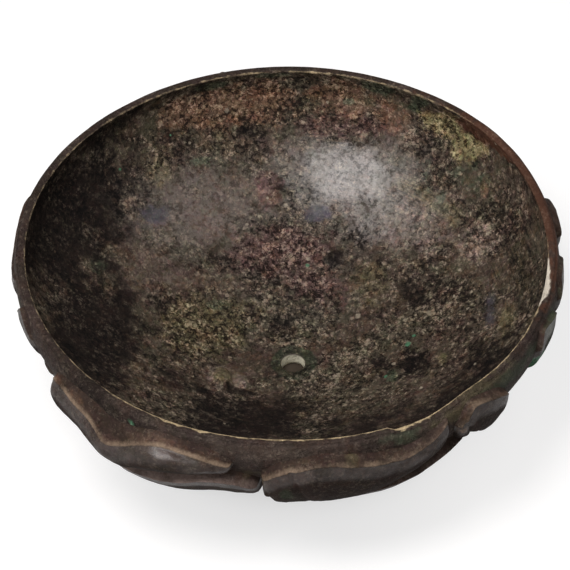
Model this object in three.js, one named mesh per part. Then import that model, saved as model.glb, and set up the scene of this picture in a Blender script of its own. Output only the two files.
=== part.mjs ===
// A round-bottomed bronze bowl with a band of high relief bodies on its outer wall.
// Millimetres, +Z up. The bowl stands on its flat foot, and the origin is on the floor below its middle.
// Azimuth 0 faces -Y, the side seen from the front, and grows towards +X.

import * as THREE from 'three';
import { mergeVertices } from 'three/addons/utils/BufferGeometryUtils.js';

// Bowl sizes

const bowlHeight = 52;
const rimRadius = 75;
const bellySwell = 1.4; // how far the widest belt stands outside the rim
const bellyHeight = 46.6; // height of the widest belt
const footRadius = 18; // flat ring that the bowl rests on
const bellyRound = 1.8; // 1 keeps a straight cone, more curves the wall up to the belly
const footTaper = 0.95; // less than 1 makes the bowl fuller above the foot
const wallThickness = 2.6;
const floorThickness = 4.4;
const floorRadius = 14; // nearly flat floor inside
const holeRadius = 3.5; // hole through the middle of the floor
const lipWidth = 2.2; // top of the rim, from outside to inside
const lipBevel = 0.7; // the lip falls inwards by this much
const lipRound = 0.6; // worn round of the lip's outer edge
const footShift = 1.6; // the foot lies this far to the right of the rim's middle

// The rim is knocked out of round: [azimuth, spread in degrees, push outwards in mm]

const rimKnocks = [
  [-2, 12, -0.8],
  [42, 6, -0.5],
  [128, 16, 1],
  [165, 30, 0.5],
  [258, 28, 1.2],
];
const knockedFrom = 0.5; // the knocks fade out below this share of the height

// One stretch of the rim is chipped and worn lower

const chip = { start: 21.3, flatStart: 23.3, flatEnd: 31, end: 41, depth: 1.7 };
const wornFrom = 0.7; // the wear fades out below this share of the height

// Relief sizes

const elbowProud = 8.2; // how far the elbowed bodies stand out from the wall
const headProud = 6.4; // the long bodies with a rounded head
const leafProud = 2.3; // the short leaf bodies
const bandProud = 8.4; // the lower bodies under the elbowed ones
const stripProud = 6.4; // the lower bodies under the headed ones
const hiddenProud = 2.4; // the flat lower bodies under the leaves
const edgeThickness = 0.6; // least thickness of a relief body, at its edge
const solderGap = 0.3; // joint between a relief body and the wall
const seamGap = 0.9; // groove between an upper body and the one below it
const seamHold = 2; // degrees that the groove runs on past a lower body's end
const seamFall = 2.4; // mm that it then falls in each degree
const leastStep = 0.9; // least height between the lines of a squeezed section
const hollowUnderTop = 0.33; // the face above the crest is this share of the way out halfway up
const cutLowEdge = 0.6; // where the low edge is cut at a groove it keeps this share of the shoulder

// Fineness of the solids

const wallSteps = 13;
const roundSteps = 72;
const reliefStep = 3.2; // degrees between two sections of a relief body

// Bronze colours

const bronzeBrown = { color: 0x3a2c22, roughness: 0.55, metalness: 0.85 };
const bronzeWorn = { color: 0x5a4030, roughness: 0.45, metalness: 0.9 };
const bronzeDark = { color: 0x2c2420, roughness: 0.6, metalness: 0.85 };

// Section shapes of the relief bodies, read from left to right.
// Each row is one section: degrees from the left end, then pairs of a height, as a share of the
// bowl's height, and how far the surface stands out there, as a share of the body's own height.
// The pairs are the crest and the shoulder. The top and low edges come before and after them.
// [degrees, top, crest, crest out, shoulder, shoulder out, low]

const elbowed = [
  [0.0, 0.885, 0.865, 0.11, 0.808, 0.24, 0.76],
  [1.5, 0.933, 0.885, 0.19, 0.798, 0.54, 0.673],
  [4.5, 0.954, 0.892, 0.24, 0.79, 0.64, 0.63],
  [9.5, 0.962, 0.873, 0.31, 0.78, 0.67, 0.62],
  [13.5, 0.952, 0.862, 0.4, 0.77, 0.81, 0.62],
  [18.0, 0.923, 0.804, 0.61, 0.74, 0.99, 0.62],
  [22.5, 0.938, 0.842, 0.49, 0.76, 1.0, 0.62],
  [26.0, 0.965, 0.885, 0.39, 0.8, 0.89, 0.62],
  [31.5, 0.979, 0.917, 0.31, 0.837, 0.77, 0.64],
  [36.5, 0.973, 0.906, 0.28, 0.837, 0.63, 0.69],
  [40.5, 0.958, 0.89, 0.26, 0.85, 0.46, 0.75],
  [43.5, 0.919, 0.865, 0.19, 0.842, 0.28, 0.78],
  [45.5, 0.86, 0.85, 0.1, 0.844, 0.11, 0.835],
];

const headed = [
  [0.0, 0.798, 0.77, 0.13, 0.73, 0.2, 0.68],
  [1.5, 0.846, 0.804, 0.38, 0.7, 0.85, 0.57],
  [4.3, 0.904, 0.863, 0.46, 0.69, 1.0, 0.54],
  [8.3, 0.935, 0.892, 0.48, 0.7, 0.98, 0.55],
  [13.3, 0.958, 0.915, 0.48, 0.7, 1.0, 0.55],
  [19.8, 0.938, 0.888, 0.46, 0.7, 0.98, 0.55],
  [26.3, 0.919, 0.867, 0.42, 0.73, 0.85, 0.57],
  [31.8, 0.935, 0.885, 0.39, 0.78, 0.67, 0.58],
  [36.3, 0.962, 0.915, 0.31, 0.84, 0.49, 0.65],
  [39.3, 0.981, 0.944, 0.22, 0.87, 0.29, 0.75],
  [41.3, 0.99, 0.973, 0.13, 0.94, 0.13, 0.89],
];

const leaf = [
  [0.0, 0.9, 0.88, 0.35, 0.84, 0.35, 0.81],
  [1.6, 0.94, 0.9, 0.7, 0.825, 0.75, 0.71],
  [5.0, 0.988, 0.96, 0.7, 0.81, 0.92, 0.65],
  [9.0, 0.98, 0.937, 0.65, 0.79, 1.0, 0.65],
  [13.2, 0.942, 0.904, 0.58, 0.79, 0.83, 0.68],
  [16.0, 0.87, 0.855, 0.35, 0.81, 0.43, 0.74],
];

const band = [
  [0.0, 0.69, 0.675, 0.1, 0.63, 0.11, 0.58],
  [3.0, 0.73, 0.705, 0.78, 0.58, 0.98, 0.42],
  [8.0, 0.715, 0.685, 0.9, 0.54, 1.07, 0.34],
  [14.0, 0.73, 0.696, 0.86, 0.52, 0.99, 0.31],
  [20.0, 0.77, 0.738, 0.74, 0.52, 0.83, 0.31],
  [27.0, 0.79, 0.768, 0.5, 0.54, 0.58, 0.35],
  [31.5, 0.775, 0.75, 0.42, 0.57, 0.52, 0.36],
  [34.5, 0.74, 0.715, 0.4, 0.57, 0.49, 0.4],
  [37.0, 0.69, 0.67, 0.28, 0.6, 0.32, 0.48],
];

const strip = [
  [0.0, 0.6, 0.58, 0.13, 0.52, 0.16, 0.42],
  [3.0, 0.654, 0.61, 0.8, 0.51, 0.98, 0.34],
  [8.5, 0.673, 0.635, 0.84, 0.53, 1.0, 0.34],
  [15.0, 0.712, 0.677, 0.73, 0.57, 0.84, 0.37],
  [21.0, 0.76, 0.723, 0.46, 0.62, 0.5, 0.46],
  [25.0, 0.78, 0.76, 0.24, 0.67, 0.3, 0.53],
];

// Where each relief body lies: name, shape, azimuth of its left end, its length in degrees,
// how far it stands out, and its colour. The front ones are as seen, the others carry the band on.

const upperBodies = [
  ['upper_relief_front_left', elbowed, -56.5, 45.5, elbowProud, bronzeWorn],
  ['upper_relief_front', headed, -6.3, 41.3, headProud, bronzeWorn],
  ['upper_relief_front_right', leaf, 35.8, 15.6, leafProud * 1.6, bronzeWorn],
  ['upper_relief_right_1', leaf, 62.5, 14, leafProud * 0.75, bronzeDark],
  ['upper_relief_right_2', leaf, 78, 15, leafProud * 0.6, bronzeDark],
  ['upper_relief_right_3', leaf, 96.5, 14, leafProud, bronzeDark],
  ['upper_relief_back_right_1', elbowed, 114, 42, elbowProud * 0.6, bronzeWorn],
  ['upper_relief_back_right_2', headed, 158, 38, headProud * 0.85, bronzeWorn],
  ['upper_relief_back_left_1', elbowed, 199, 42, elbowProud * 0.6, bronzeWorn],
  ['upper_relief_back_left_2', headed, 243, 36, headProud * 0.35, bronzeWorn],
  ['upper_relief_left', leaf, 284, 9.5, leafProud * 0.6, bronzeDark],
];

const lowerBodies = [
  ['lower_relief_front_left', band, -43, 37, bandProud, bronzeBrown],
  ['lower_relief_front', strip, 9, 30.5, stripProud, bronzeBrown],
  ['lower_relief_right_1', strip, 41, 13, hiddenProud * 0.5, bronzeDark],
  ['lower_relief_right_2', band, 73, 36, hiddenProud, bronzeDark],
  ['lower_relief_back_right_1', band, 125, 34, bandProud * 0.5, bronzeBrown],
  ['lower_relief_back_right_2', strip, 172, 24, stripProud * 0.7, bronzeBrown],
  ['lower_relief_back_left_1', band, 210, 34, bandProud * 0.5, bronzeBrown],
  ['lower_relief_back_left_2', strip, 255, 24, stripProud * 0.4, bronzeBrown],
  ['lower_relief_left', strip, 280, 20, hiddenProud, bronzeDark],
];

const radians = THREE.MathUtils.degToRad;
const clamp = THREE.MathUtils.clamp;

function turnBetween(azimuth, middle) {
  return THREE.MathUtils.euclideanModulo(azimuth - middle + 180, 360) - 180;
}

// How far the wall has swelled out, from 0 at the foot to 1 at the belly

function swelling(share) {
  return Math.pow(1 - Math.pow(1 - clamp(share, 0, 1), bellyRound), footTaper);
}

function outerRadius(height) {
  const widest = rimRadius + bellySwell;
  if (height < bellyHeight) {
    return footRadius + (widest - footRadius) * swelling(height / bellyHeight);
  }
  const drawnIn = (height - bellyHeight) / (bowlHeight - bellyHeight);
  return widest - bellySwell * drawnIn * drawnIn;
}

function innerRadius(height) {
  const widest = rimRadius + bellySwell - wallThickness;
  const topOfInside = bowlHeight - lipBevel;
  if (height < bellyHeight) {
    const share = (height - floorThickness) / (bellyHeight - floorThickness);
    return floorRadius + (widest - floorRadius) * swelling(share);
  }
  const drawnIn = clamp((height - bellyHeight) / (topOfInside - bellyHeight), 0, 1);
  const inside = rimRadius - lipWidth;
  return widest + (inside - widest) * drawnIn * drawnIn;
}

// Out-of-round rim, worn chip and shifted foot, shared by the shell and the relief

function knockedOut(azimuth) {
  return rimKnocks.reduce((sum, [middle, spread, push]) => {
    const away = turnBetween(azimuth, middle) / spread;
    return sum + push * Math.exp(-away * away / 2);
  }, 0);
}

function wornDown(azimuth) {
  const turn = turnBetween(azimuth, 0);
  if (turn < chip.start || turn > chip.end) return 0;
  const fallen = clamp((turn - chip.start) / (chip.flatStart - chip.start), 0, 1);
  const recovered = clamp((turn - chip.flatEnd) / (chip.end - chip.flatEnd), 0, 1);
  return chip.depth * fallen * (1 - recovered);
}

// The shell is faceted, so the dents follow its facets and the relief stays clear of it

function acrossFacet(dent, azimuth) {
  const facet = 360 / roundSteps;
  const before = Math.floor(azimuth / facet) * facet;
  const share = (azimuth - before) / facet;
  return dent(before) * (1 - share) + dent(before + facet) * share;
}

function settle(radius, azimuth, height) {
  const share = height / bowlHeight;
  const fadeIn = (from) => clamp((share - from) / (1 - from), 0, 1);
  const knocked = acrossFacet(knockedOut, azimuth) * fadeIn(knockedFrom);
  const worn = acrossFacet(wornDown, azimuth) * fadeIn(wornFrom);
  const angle = radians(azimuth);
  const shifted = footShift * (1 - share);
  return new THREE.Vector3(
    (radius + knocked) * Math.sin(angle) + shifted,
    -(radius + knocked) * Math.cos(angle),
    height - worn,
  );
}

// A point at a height of the outer wall, moved out along the wall's normal

function onWall(azimuth, height, out) {
  const reach = 0.05;
  const above = Math.min(height + reach, bowlHeight);
  const below = Math.max(height - reach, 0);
  const along = new THREE.Vector2(outerRadius(above) - outerRadius(below), above - below).normalize();
  return settle(outerRadius(height) + along.y * out, azimuth, height - along.x * out);
}

// Shell

function shellProfile() {
  const points = [];
  const add = (radius, height) => points.push(new THREE.Vector2(radius, height));
  const drawnInHeight = (bellyHeight + bowlHeight) / 2;
  add(holeRadius, 0);
  for (let i = 0; i <= wallSteps; i++) {
    const height = bellyHeight * i / wallSteps;
    add(outerRadius(height), height);
  }
  add(outerRadius(drawnInHeight), drawnInHeight);
  add(rimRadius, bowlHeight - lipRound);
  add(rimRadius - lipRound, bowlHeight);
  add(rimRadius - lipRound * 2, bowlHeight);
  add(rimRadius - lipWidth, bowlHeight - lipBevel);
  add(innerRadius(drawnInHeight), drawnInHeight);
  for (let i = wallSteps; i >= 0; i--) {
    const height = floorThickness + (bellyHeight - floorThickness) * i / wallSteps;
    add(innerRadius(height), height);
  }
  add(holeRadius, floorThickness);
  add(holeRadius, 0);
  return points;
}

function shellGeometry() {
  const turned = new THREE.LatheGeometry(shellProfile(), roundSteps);
  turned.rotateX(Math.PI / 2);
  turned.deleteAttribute('normal');
  turned.deleteAttribute('uv');
  const places = turned.attributes.position;
  const spot = new THREE.Vector3();
  for (let i = 0; i < places.count; i++) {
    spot.fromBufferAttribute(places, i);
    const radius = Math.hypot(spot.x, spot.y);
    const azimuth = THREE.MathUtils.radToDeg(Math.atan2(spot.x, -spot.y));
    spot.copy(settle(radius, azimuth, spot.z));
    places.setXYZ(i, spot.x, spot.y, spot.z);
  }
  return withNormals(mergeVertices(turned, 1e-4));
}

function withNormals(geometry) {
  geometry.computeVertexNormals();
  return geometry;
}

// Relief

function lengthOf(shape) {
  return shape[shape.length - 1][0];
}

// A curve through the rows that never swings past them

function along(rows, column, at) {
  let k = 0;
  while (k < rows.length - 2 && rows[k + 1][0] < at) k++;
  const slope = (i) => (rows[i + 1][column] - rows[i][column]) / (rows[i + 1][0] - rows[i][0]);
  const tangent = (i) => {
    if (i === 0) return slope(0);
    if (i === rows.length - 1) return slope(i - 1);
    const before = slope(i - 1);
    const after = slope(i);
    return before * after > 0 ? 2 * before * after / (before + after) : 0;
  };
  const width = rows[k + 1][0] - rows[k][0];
  const t = (at - rows[k][0]) / width;
  const from = rows[k][column];
  const to = rows[k + 1][column];
  return (2 * t ** 3 - 3 * t ** 2 + 1) * from
    + (t ** 3 - 2 * t ** 2 + t) * width * tangent(k)
    + (3 * t ** 2 - 2 * t ** 3) * to
    + (t ** 3 - t ** 2) * width * tangent(k + 1);
}

// The upper edge of the lower bodies. Past their ends it falls away steadily.

function seamHeight(azimuth) {
  let seam = 0;
  for (const [, shape, start, span] of lowerBodies) {
    const at = turnBetween(azimuth, start + span / 2) + span / 2;
    const local = clamp(at, 0, span);
    const past = Math.max(Math.abs(at - local) - seamHold, 0);
    const edge = along(shape, 1, local * lengthOf(shape) / span) * bowlHeight + seamGap;
    seam = Math.max(seam, edge - past * seamFall);
  }
  return seam;
}

// One section: pairs of a height and a distance out from the wall, from the top edge to the low one

function section(shape, at, proud, seam) {
  const read = (column) => along(shape, column, at);
  const thinnest = solderGap + edgeThickness;
  const low = Math.max(read(6) * bowlHeight, seam);
  const shoulder = Math.max(read(4) * bowlHeight, low + leastStep);
  const crest = Math.max(read(2) * bowlHeight, shoulder + leastStep);
  const top = Math.max(read(1) * bowlHeight, crest + leastStep);
  const crestOut = Math.max(read(3) * proud, thinnest);
  const shoulderOut = Math.max(read(5) * proud, thinnest);
  const lowOut = low > seam ? thinnest : Math.max(shoulderOut * cutLowEdge, thinnest);
  const halfway = thinnest + (crestOut - thinnest) * hollowUnderTop;
  const points = [[top, thinnest], [(top + crest) / 2, halfway]];
  for (const t of [0, 1 / 3, 2 / 3]) {
    const swell = Math.sin(t * Math.PI / 2);
    points.push([crest + (shoulder - crest) * t, crestOut + (shoulderOut - crestOut) * swell]);
  }
  for (const t of [0, 0.5, 0.85, 1]) {
    const fall = Math.sqrt(1 - t * t);
    points.push([shoulder + (low - shoulder) * t, lowOut + (shoulderOut - lowOut) * fall]);
  }
  return points;
}

// Sections lie closer together at the ends, where the outline turns

function closerAtEnds(share) {
  return (share + (1 - Math.cos(share * Math.PI)) / 2) / 2;
}

function reliefGeometry([, shape, start, span, proud], isUpper) {
  const count = Math.max(4, Math.ceil(span / reliefStep));
  const vertices = [];
  const faces = [];
  let ring = 0;
  for (let i = 0; i <= count; i++) {
    const share = closerAtEnds(i / count);
    const azimuth = start + span * share;
    const seam = isUpper ? seamHeight(azimuth) : 0;
    const front = section(shape, lengthOf(shape) * share, proud, seam);
    const loop = front.map(([height, out]) => onWall(azimuth, height, out));
    for (const [height] of front.slice().reverse()) loop.push(onWall(azimuth, height, solderGap));
    ring = loop.length;
    for (const point of loop) vertices.push(point.x, point.y, point.z);
  }
  for (let i = 0; i < count; i++) {
    for (let j = 0; j < ring; j++) {
      const a = i * ring + j;
      const b = i * ring + (j + 1) % ring;
      faces.push(a, b, a + ring, b, b + ring, a + ring);
    }
  }
  const half = ring / 2;
  for (let j = 0; j < half - 1; j++) {
    const first = [j, j + 1, ring - 1 - j, j + 1, ring - 2 - j, ring - 1 - j];
    const last = first.map((index) => index + count * ring);
    faces.push(first[0], first[2], first[1], first[3], first[5], first[4], ...last);
  }
  const geometry = new THREE.BufferGeometry();
  geometry.setAttribute('position', new THREE.Float32BufferAttribute(vertices, 3));
  geometry.setIndex(faces);
  return withNormals(geometry);
}

function piece(name, geometry, finish) {
  const mesh = new THREE.Mesh(geometry, new THREE.MeshStandardMaterial(finish));
  mesh.name = name;
  return mesh;
}

function makeBowl() {
  const bowl = new THREE.Group();
  bowl.add(piece('bowl_shell', shellGeometry(), bronzeBrown));
  for (const body of upperBodies) bowl.add(piece(body[0], reliefGeometry(body, true), body[5]));
  for (const body of lowerBodies) bowl.add(piece(body[0], reliefGeometry(body, false), body[5]));
  const extent = new THREE.Box3().setFromObject(bowl);
  const middle = extent.getCenter(new THREE.Vector3());
  bowl.position.set(-middle.x, -middle.y, -extent.min.z);
  const standing = new THREE.Group();
  standing.add(bowl);
  return standing;
}

export default makeBowl();
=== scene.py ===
# A round-bottomed bronze bowl with a band of high relief, crusted inside and rubbed bright along its edges.

import math

import bmesh
import bpy
import numpy as np
from bpy.props import FloatProperty, FloatVectorProperty, IntProperty, PointerProperty
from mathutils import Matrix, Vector, noise


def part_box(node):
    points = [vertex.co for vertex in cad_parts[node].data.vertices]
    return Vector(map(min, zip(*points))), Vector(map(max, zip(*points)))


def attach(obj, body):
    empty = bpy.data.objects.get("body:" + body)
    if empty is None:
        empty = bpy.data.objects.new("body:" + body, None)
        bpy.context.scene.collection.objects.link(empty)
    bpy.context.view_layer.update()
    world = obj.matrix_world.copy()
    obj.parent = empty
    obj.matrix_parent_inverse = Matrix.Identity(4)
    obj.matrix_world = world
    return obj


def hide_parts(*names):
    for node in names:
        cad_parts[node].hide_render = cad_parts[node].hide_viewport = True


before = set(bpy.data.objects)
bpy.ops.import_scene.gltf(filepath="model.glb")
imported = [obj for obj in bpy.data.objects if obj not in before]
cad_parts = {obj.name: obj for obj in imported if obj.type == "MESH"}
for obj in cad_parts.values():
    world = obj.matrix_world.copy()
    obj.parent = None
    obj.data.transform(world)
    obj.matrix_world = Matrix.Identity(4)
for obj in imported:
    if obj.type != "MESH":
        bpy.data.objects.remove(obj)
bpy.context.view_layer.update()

bl_info = {
    "name": "Old bronze bowl",
    "version": (1, 0, 0),
    "blender": (4, 5, 0),
    "location": "View3D > Sidebar > Bronze bowl",
    "description": "Builds a worn and corroded bronze bowl with a relief band around its packed solids",
    "category": "Add Mesh",
}

SHELL_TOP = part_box("bowl_shell")[1].z

# Sizes in millimetres and degrees. Azimuth 0 faces -Y and grows towards +X.

MM = 0.001
HEIGHT = SHELL_TOP / MM
RIM_AXIS = (0.17, 0.09)
RIM_RADIUS = 75.0
BELLY_SWELL = 1.4
BELLY_HEIGHT = 46.6
FOOT_RADIUS = 18.0
BELLY_ROUND = 1.8
FOOT_TAPER = 0.95
FLOOR_RADIUS = 14.0
HOLE_RADIUS = 3.5
FOOT_SHIFT = 1.6
ARRIS = 0.25
LIP_ROUND = 0.6
CROWN_INSET = 1.4
CROWN_DROP = 0.08
EDGE_BREAK = 0.3
FOOT_EDGE = 0.35
KNOCKED_FROM = 0.5
WORN_FROM = 0.7

# Knocks in the rim: azimuth, spread in degrees, push outwards

RIM_KNOCKS = ((-2, 12, -0.8), (42, 6, -0.5), (128, 16, 1.0), (165, 30, 0.5), (258, 28, 1.2))
CHIP_START, CHIP_FLAT_START, CHIP_FLAT_END, CHIP_END, CHIP_DEPTH = 21.3, 23.3, 31.0, 41.0, 1.7

# Relief bodies. A row is one section: degrees, top, crest, crest out, shoulder, shoulder out, low.
# Heights are shares of the bowl's height, and outs are shares of how far the body stands out.

ELBOWED = (
    (0.0, 0.885, 0.865, 0.11, 0.808, 0.24, 0.76),
    (1.5, 0.933, 0.885, 0.19, 0.798, 0.54, 0.673),
    (4.5, 0.954, 0.892, 0.24, 0.79, 0.64, 0.63),
    (9.5, 0.962, 0.873, 0.31, 0.78, 0.67, 0.62),
    (13.5, 0.952, 0.862, 0.4, 0.77, 0.81, 0.62),
    (18.0, 0.923, 0.804, 0.61, 0.74, 0.99, 0.62),
    (22.5, 0.938, 0.842, 0.49, 0.76, 1.0, 0.62),
    (26.0, 0.965, 0.885, 0.39, 0.8, 0.89, 0.62),
    (31.5, 0.979, 0.917, 0.31, 0.837, 0.77, 0.64),
    (36.5, 0.973, 0.906, 0.28, 0.837, 0.63, 0.69),
    (40.5, 0.958, 0.89, 0.26, 0.85, 0.46, 0.75),
    (43.5, 0.919, 0.865, 0.19, 0.842, 0.28, 0.78),
    (45.5, 0.86, 0.85, 0.1, 0.844, 0.11, 0.835),
)
HEADED = (
    (0.0, 0.798, 0.77, 0.13, 0.73, 0.2, 0.68),
    (1.5, 0.846, 0.804, 0.38, 0.7, 0.85, 0.57),
    (4.3, 0.904, 0.863, 0.46, 0.69, 1.0, 0.54),
    (8.3, 0.935, 0.892, 0.48, 0.7, 0.98, 0.55),
    (13.3, 0.958, 0.915, 0.48, 0.7, 1.0, 0.55),
    (19.8, 0.938, 0.888, 0.46, 0.7, 0.98, 0.55),
    (26.3, 0.919, 0.867, 0.42, 0.73, 0.85, 0.57),
    (31.8, 0.935, 0.885, 0.39, 0.78, 0.67, 0.58),
    (36.3, 0.962, 0.915, 0.31, 0.84, 0.49, 0.65),
    (39.3, 0.981, 0.944, 0.22, 0.87, 0.29, 0.75),
    (41.3, 0.99, 0.973, 0.13, 0.94, 0.13, 0.89),
)
LEAF = (
    (0.0, 0.9, 0.88, 0.35, 0.84, 0.35, 0.81),
    (1.6, 0.94, 0.9, 0.7, 0.825, 0.75, 0.71),
    (5.0, 0.988, 0.96, 0.7, 0.81, 0.92, 0.65),
    (9.0, 0.98, 0.937, 0.65, 0.79, 1.0, 0.65),
    (13.2, 0.942, 0.904, 0.58, 0.79, 0.83, 0.68),
    (16.0, 0.87, 0.855, 0.35, 0.81, 0.43, 0.74),
)
BAND = (
    (0.0, 0.69, 0.675, 0.1, 0.63, 0.11, 0.58),
    (3.0, 0.73, 0.705, 0.78, 0.58, 0.98, 0.42),
    (8.0, 0.715, 0.685, 0.9, 0.54, 1.07, 0.34),
    (14.0, 0.73, 0.696, 0.86, 0.52, 0.99, 0.31),
    (20.0, 0.77, 0.738, 0.74, 0.52, 0.83, 0.31),
    (27.0, 0.79, 0.768, 0.5, 0.54, 0.58, 0.35),
    (31.5, 0.775, 0.75, 0.42, 0.57, 0.52, 0.36),
    (34.5, 0.74, 0.715, 0.4, 0.57, 0.49, 0.4),
    (37.0, 0.69, 0.67, 0.28, 0.6, 0.32, 0.48),
)
STRIP = (
    (0.0, 0.6, 0.58, 0.13, 0.52, 0.16, 0.42),
    (3.0, 0.654, 0.61, 0.8, 0.51, 0.98, 0.34),
    (8.5, 0.673, 0.635, 0.84, 0.53, 1.0, 0.34),
    (15.0, 0.712, 0.677, 0.73, 0.57, 0.84, 0.37),
    (21.0, 0.76, 0.723, 0.46, 0.62, 0.5, 0.46),
    (25.0, 0.78, 0.76, 0.24, 0.67, 0.3, 0.53),
)

# Name, shape, azimuth of the left end, length in degrees, its depth, the share of it, rub of the ridge

UPPER_BODIES = (
    ("upper_relief_front_left", ELBOWED, -56.5, 45.5, "elbow", 1.0, 1.0),
    ("upper_relief_front", HEADED, -6.3, 41.3, "head", 1.0, 0.6),
    ("upper_relief_front_right", LEAF, 35.8, 15.6, "leaf", 1.6, 0.6),
    ("upper_relief_right_1", LEAF, 62.5, 14, "leaf", 0.75, 0.3),
    ("upper_relief_right_2", LEAF, 78, 15, "leaf", 0.6, 0.2),
    ("upper_relief_right_3", LEAF, 96.5, 14, "leaf", 1.0, 0.25),
    ("upper_relief_back_right_1", ELBOWED, 114, 42, "elbow", 0.6, 0.6),
    ("upper_relief_back_right_2", HEADED, 158, 38, "head", 0.85, 0.6),
    ("upper_relief_back_left_1", ELBOWED, 199, 42, "elbow", 0.6, 0.6),
    ("upper_relief_back_left_2", HEADED, 243, 36, "head", 0.35, 0.4),
    ("upper_relief_left", LEAF, 284, 9.5, "leaf", 0.6, 0.3),
)
LOWER_BODIES = (
    ("lower_relief_front_left", BAND, -43, 37, "band", 1.0, 0.9),
    ("lower_relief_front", STRIP, 9, 30.5, "strip", 1.0, 0.4),
    ("lower_relief_right_1", STRIP, 41, 13, "flat", 0.5, 0.2),
    ("lower_relief_right_2", BAND, 73, 36, "flat", 1.0, 0.2),
    ("lower_relief_back_right_1", BAND, 125, 34, "band", 0.5, 0.4),
    ("lower_relief_back_right_2", STRIP, 172, 24, "strip", 0.7, 0.4),
    ("lower_relief_back_left_1", BAND, 210, 34, "band", 0.5, 0.4),
    ("lower_relief_back_left_2", STRIP, 255, 24, "strip", 0.4, 0.4),
    ("lower_relief_left", STRIP, 280, 20, "flat", 1.0, 0.2),
)

# Cuts in the relief: body, azimuth and height share of its points, width and depth in mm

CUTS = (
    ("upper_relief_front", ((0.4, 0.88), (0.9, 0.84), (1.8, 0.8), (2.6, 0.74), (4.2, 0.66)), 0.55, 0.7),
    ("upper_relief_front", ((-5.8, 0.77), (-4.6, 0.74), (-3.4, 0.7)), 0.6, 0.5),
    ("upper_relief_front_right", ((36.4, 0.93), (38.6, 0.87), (39.5, 0.8), (39.9, 0.72)), 0.7, 0.8),
)

# Crust and stains on the inside wall, some of them with painted shade or painted light, each an oval: name,
# layer, azimuth, way up the wall from the middle of the floor, half length, half width, turn from level,
# strength

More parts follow.
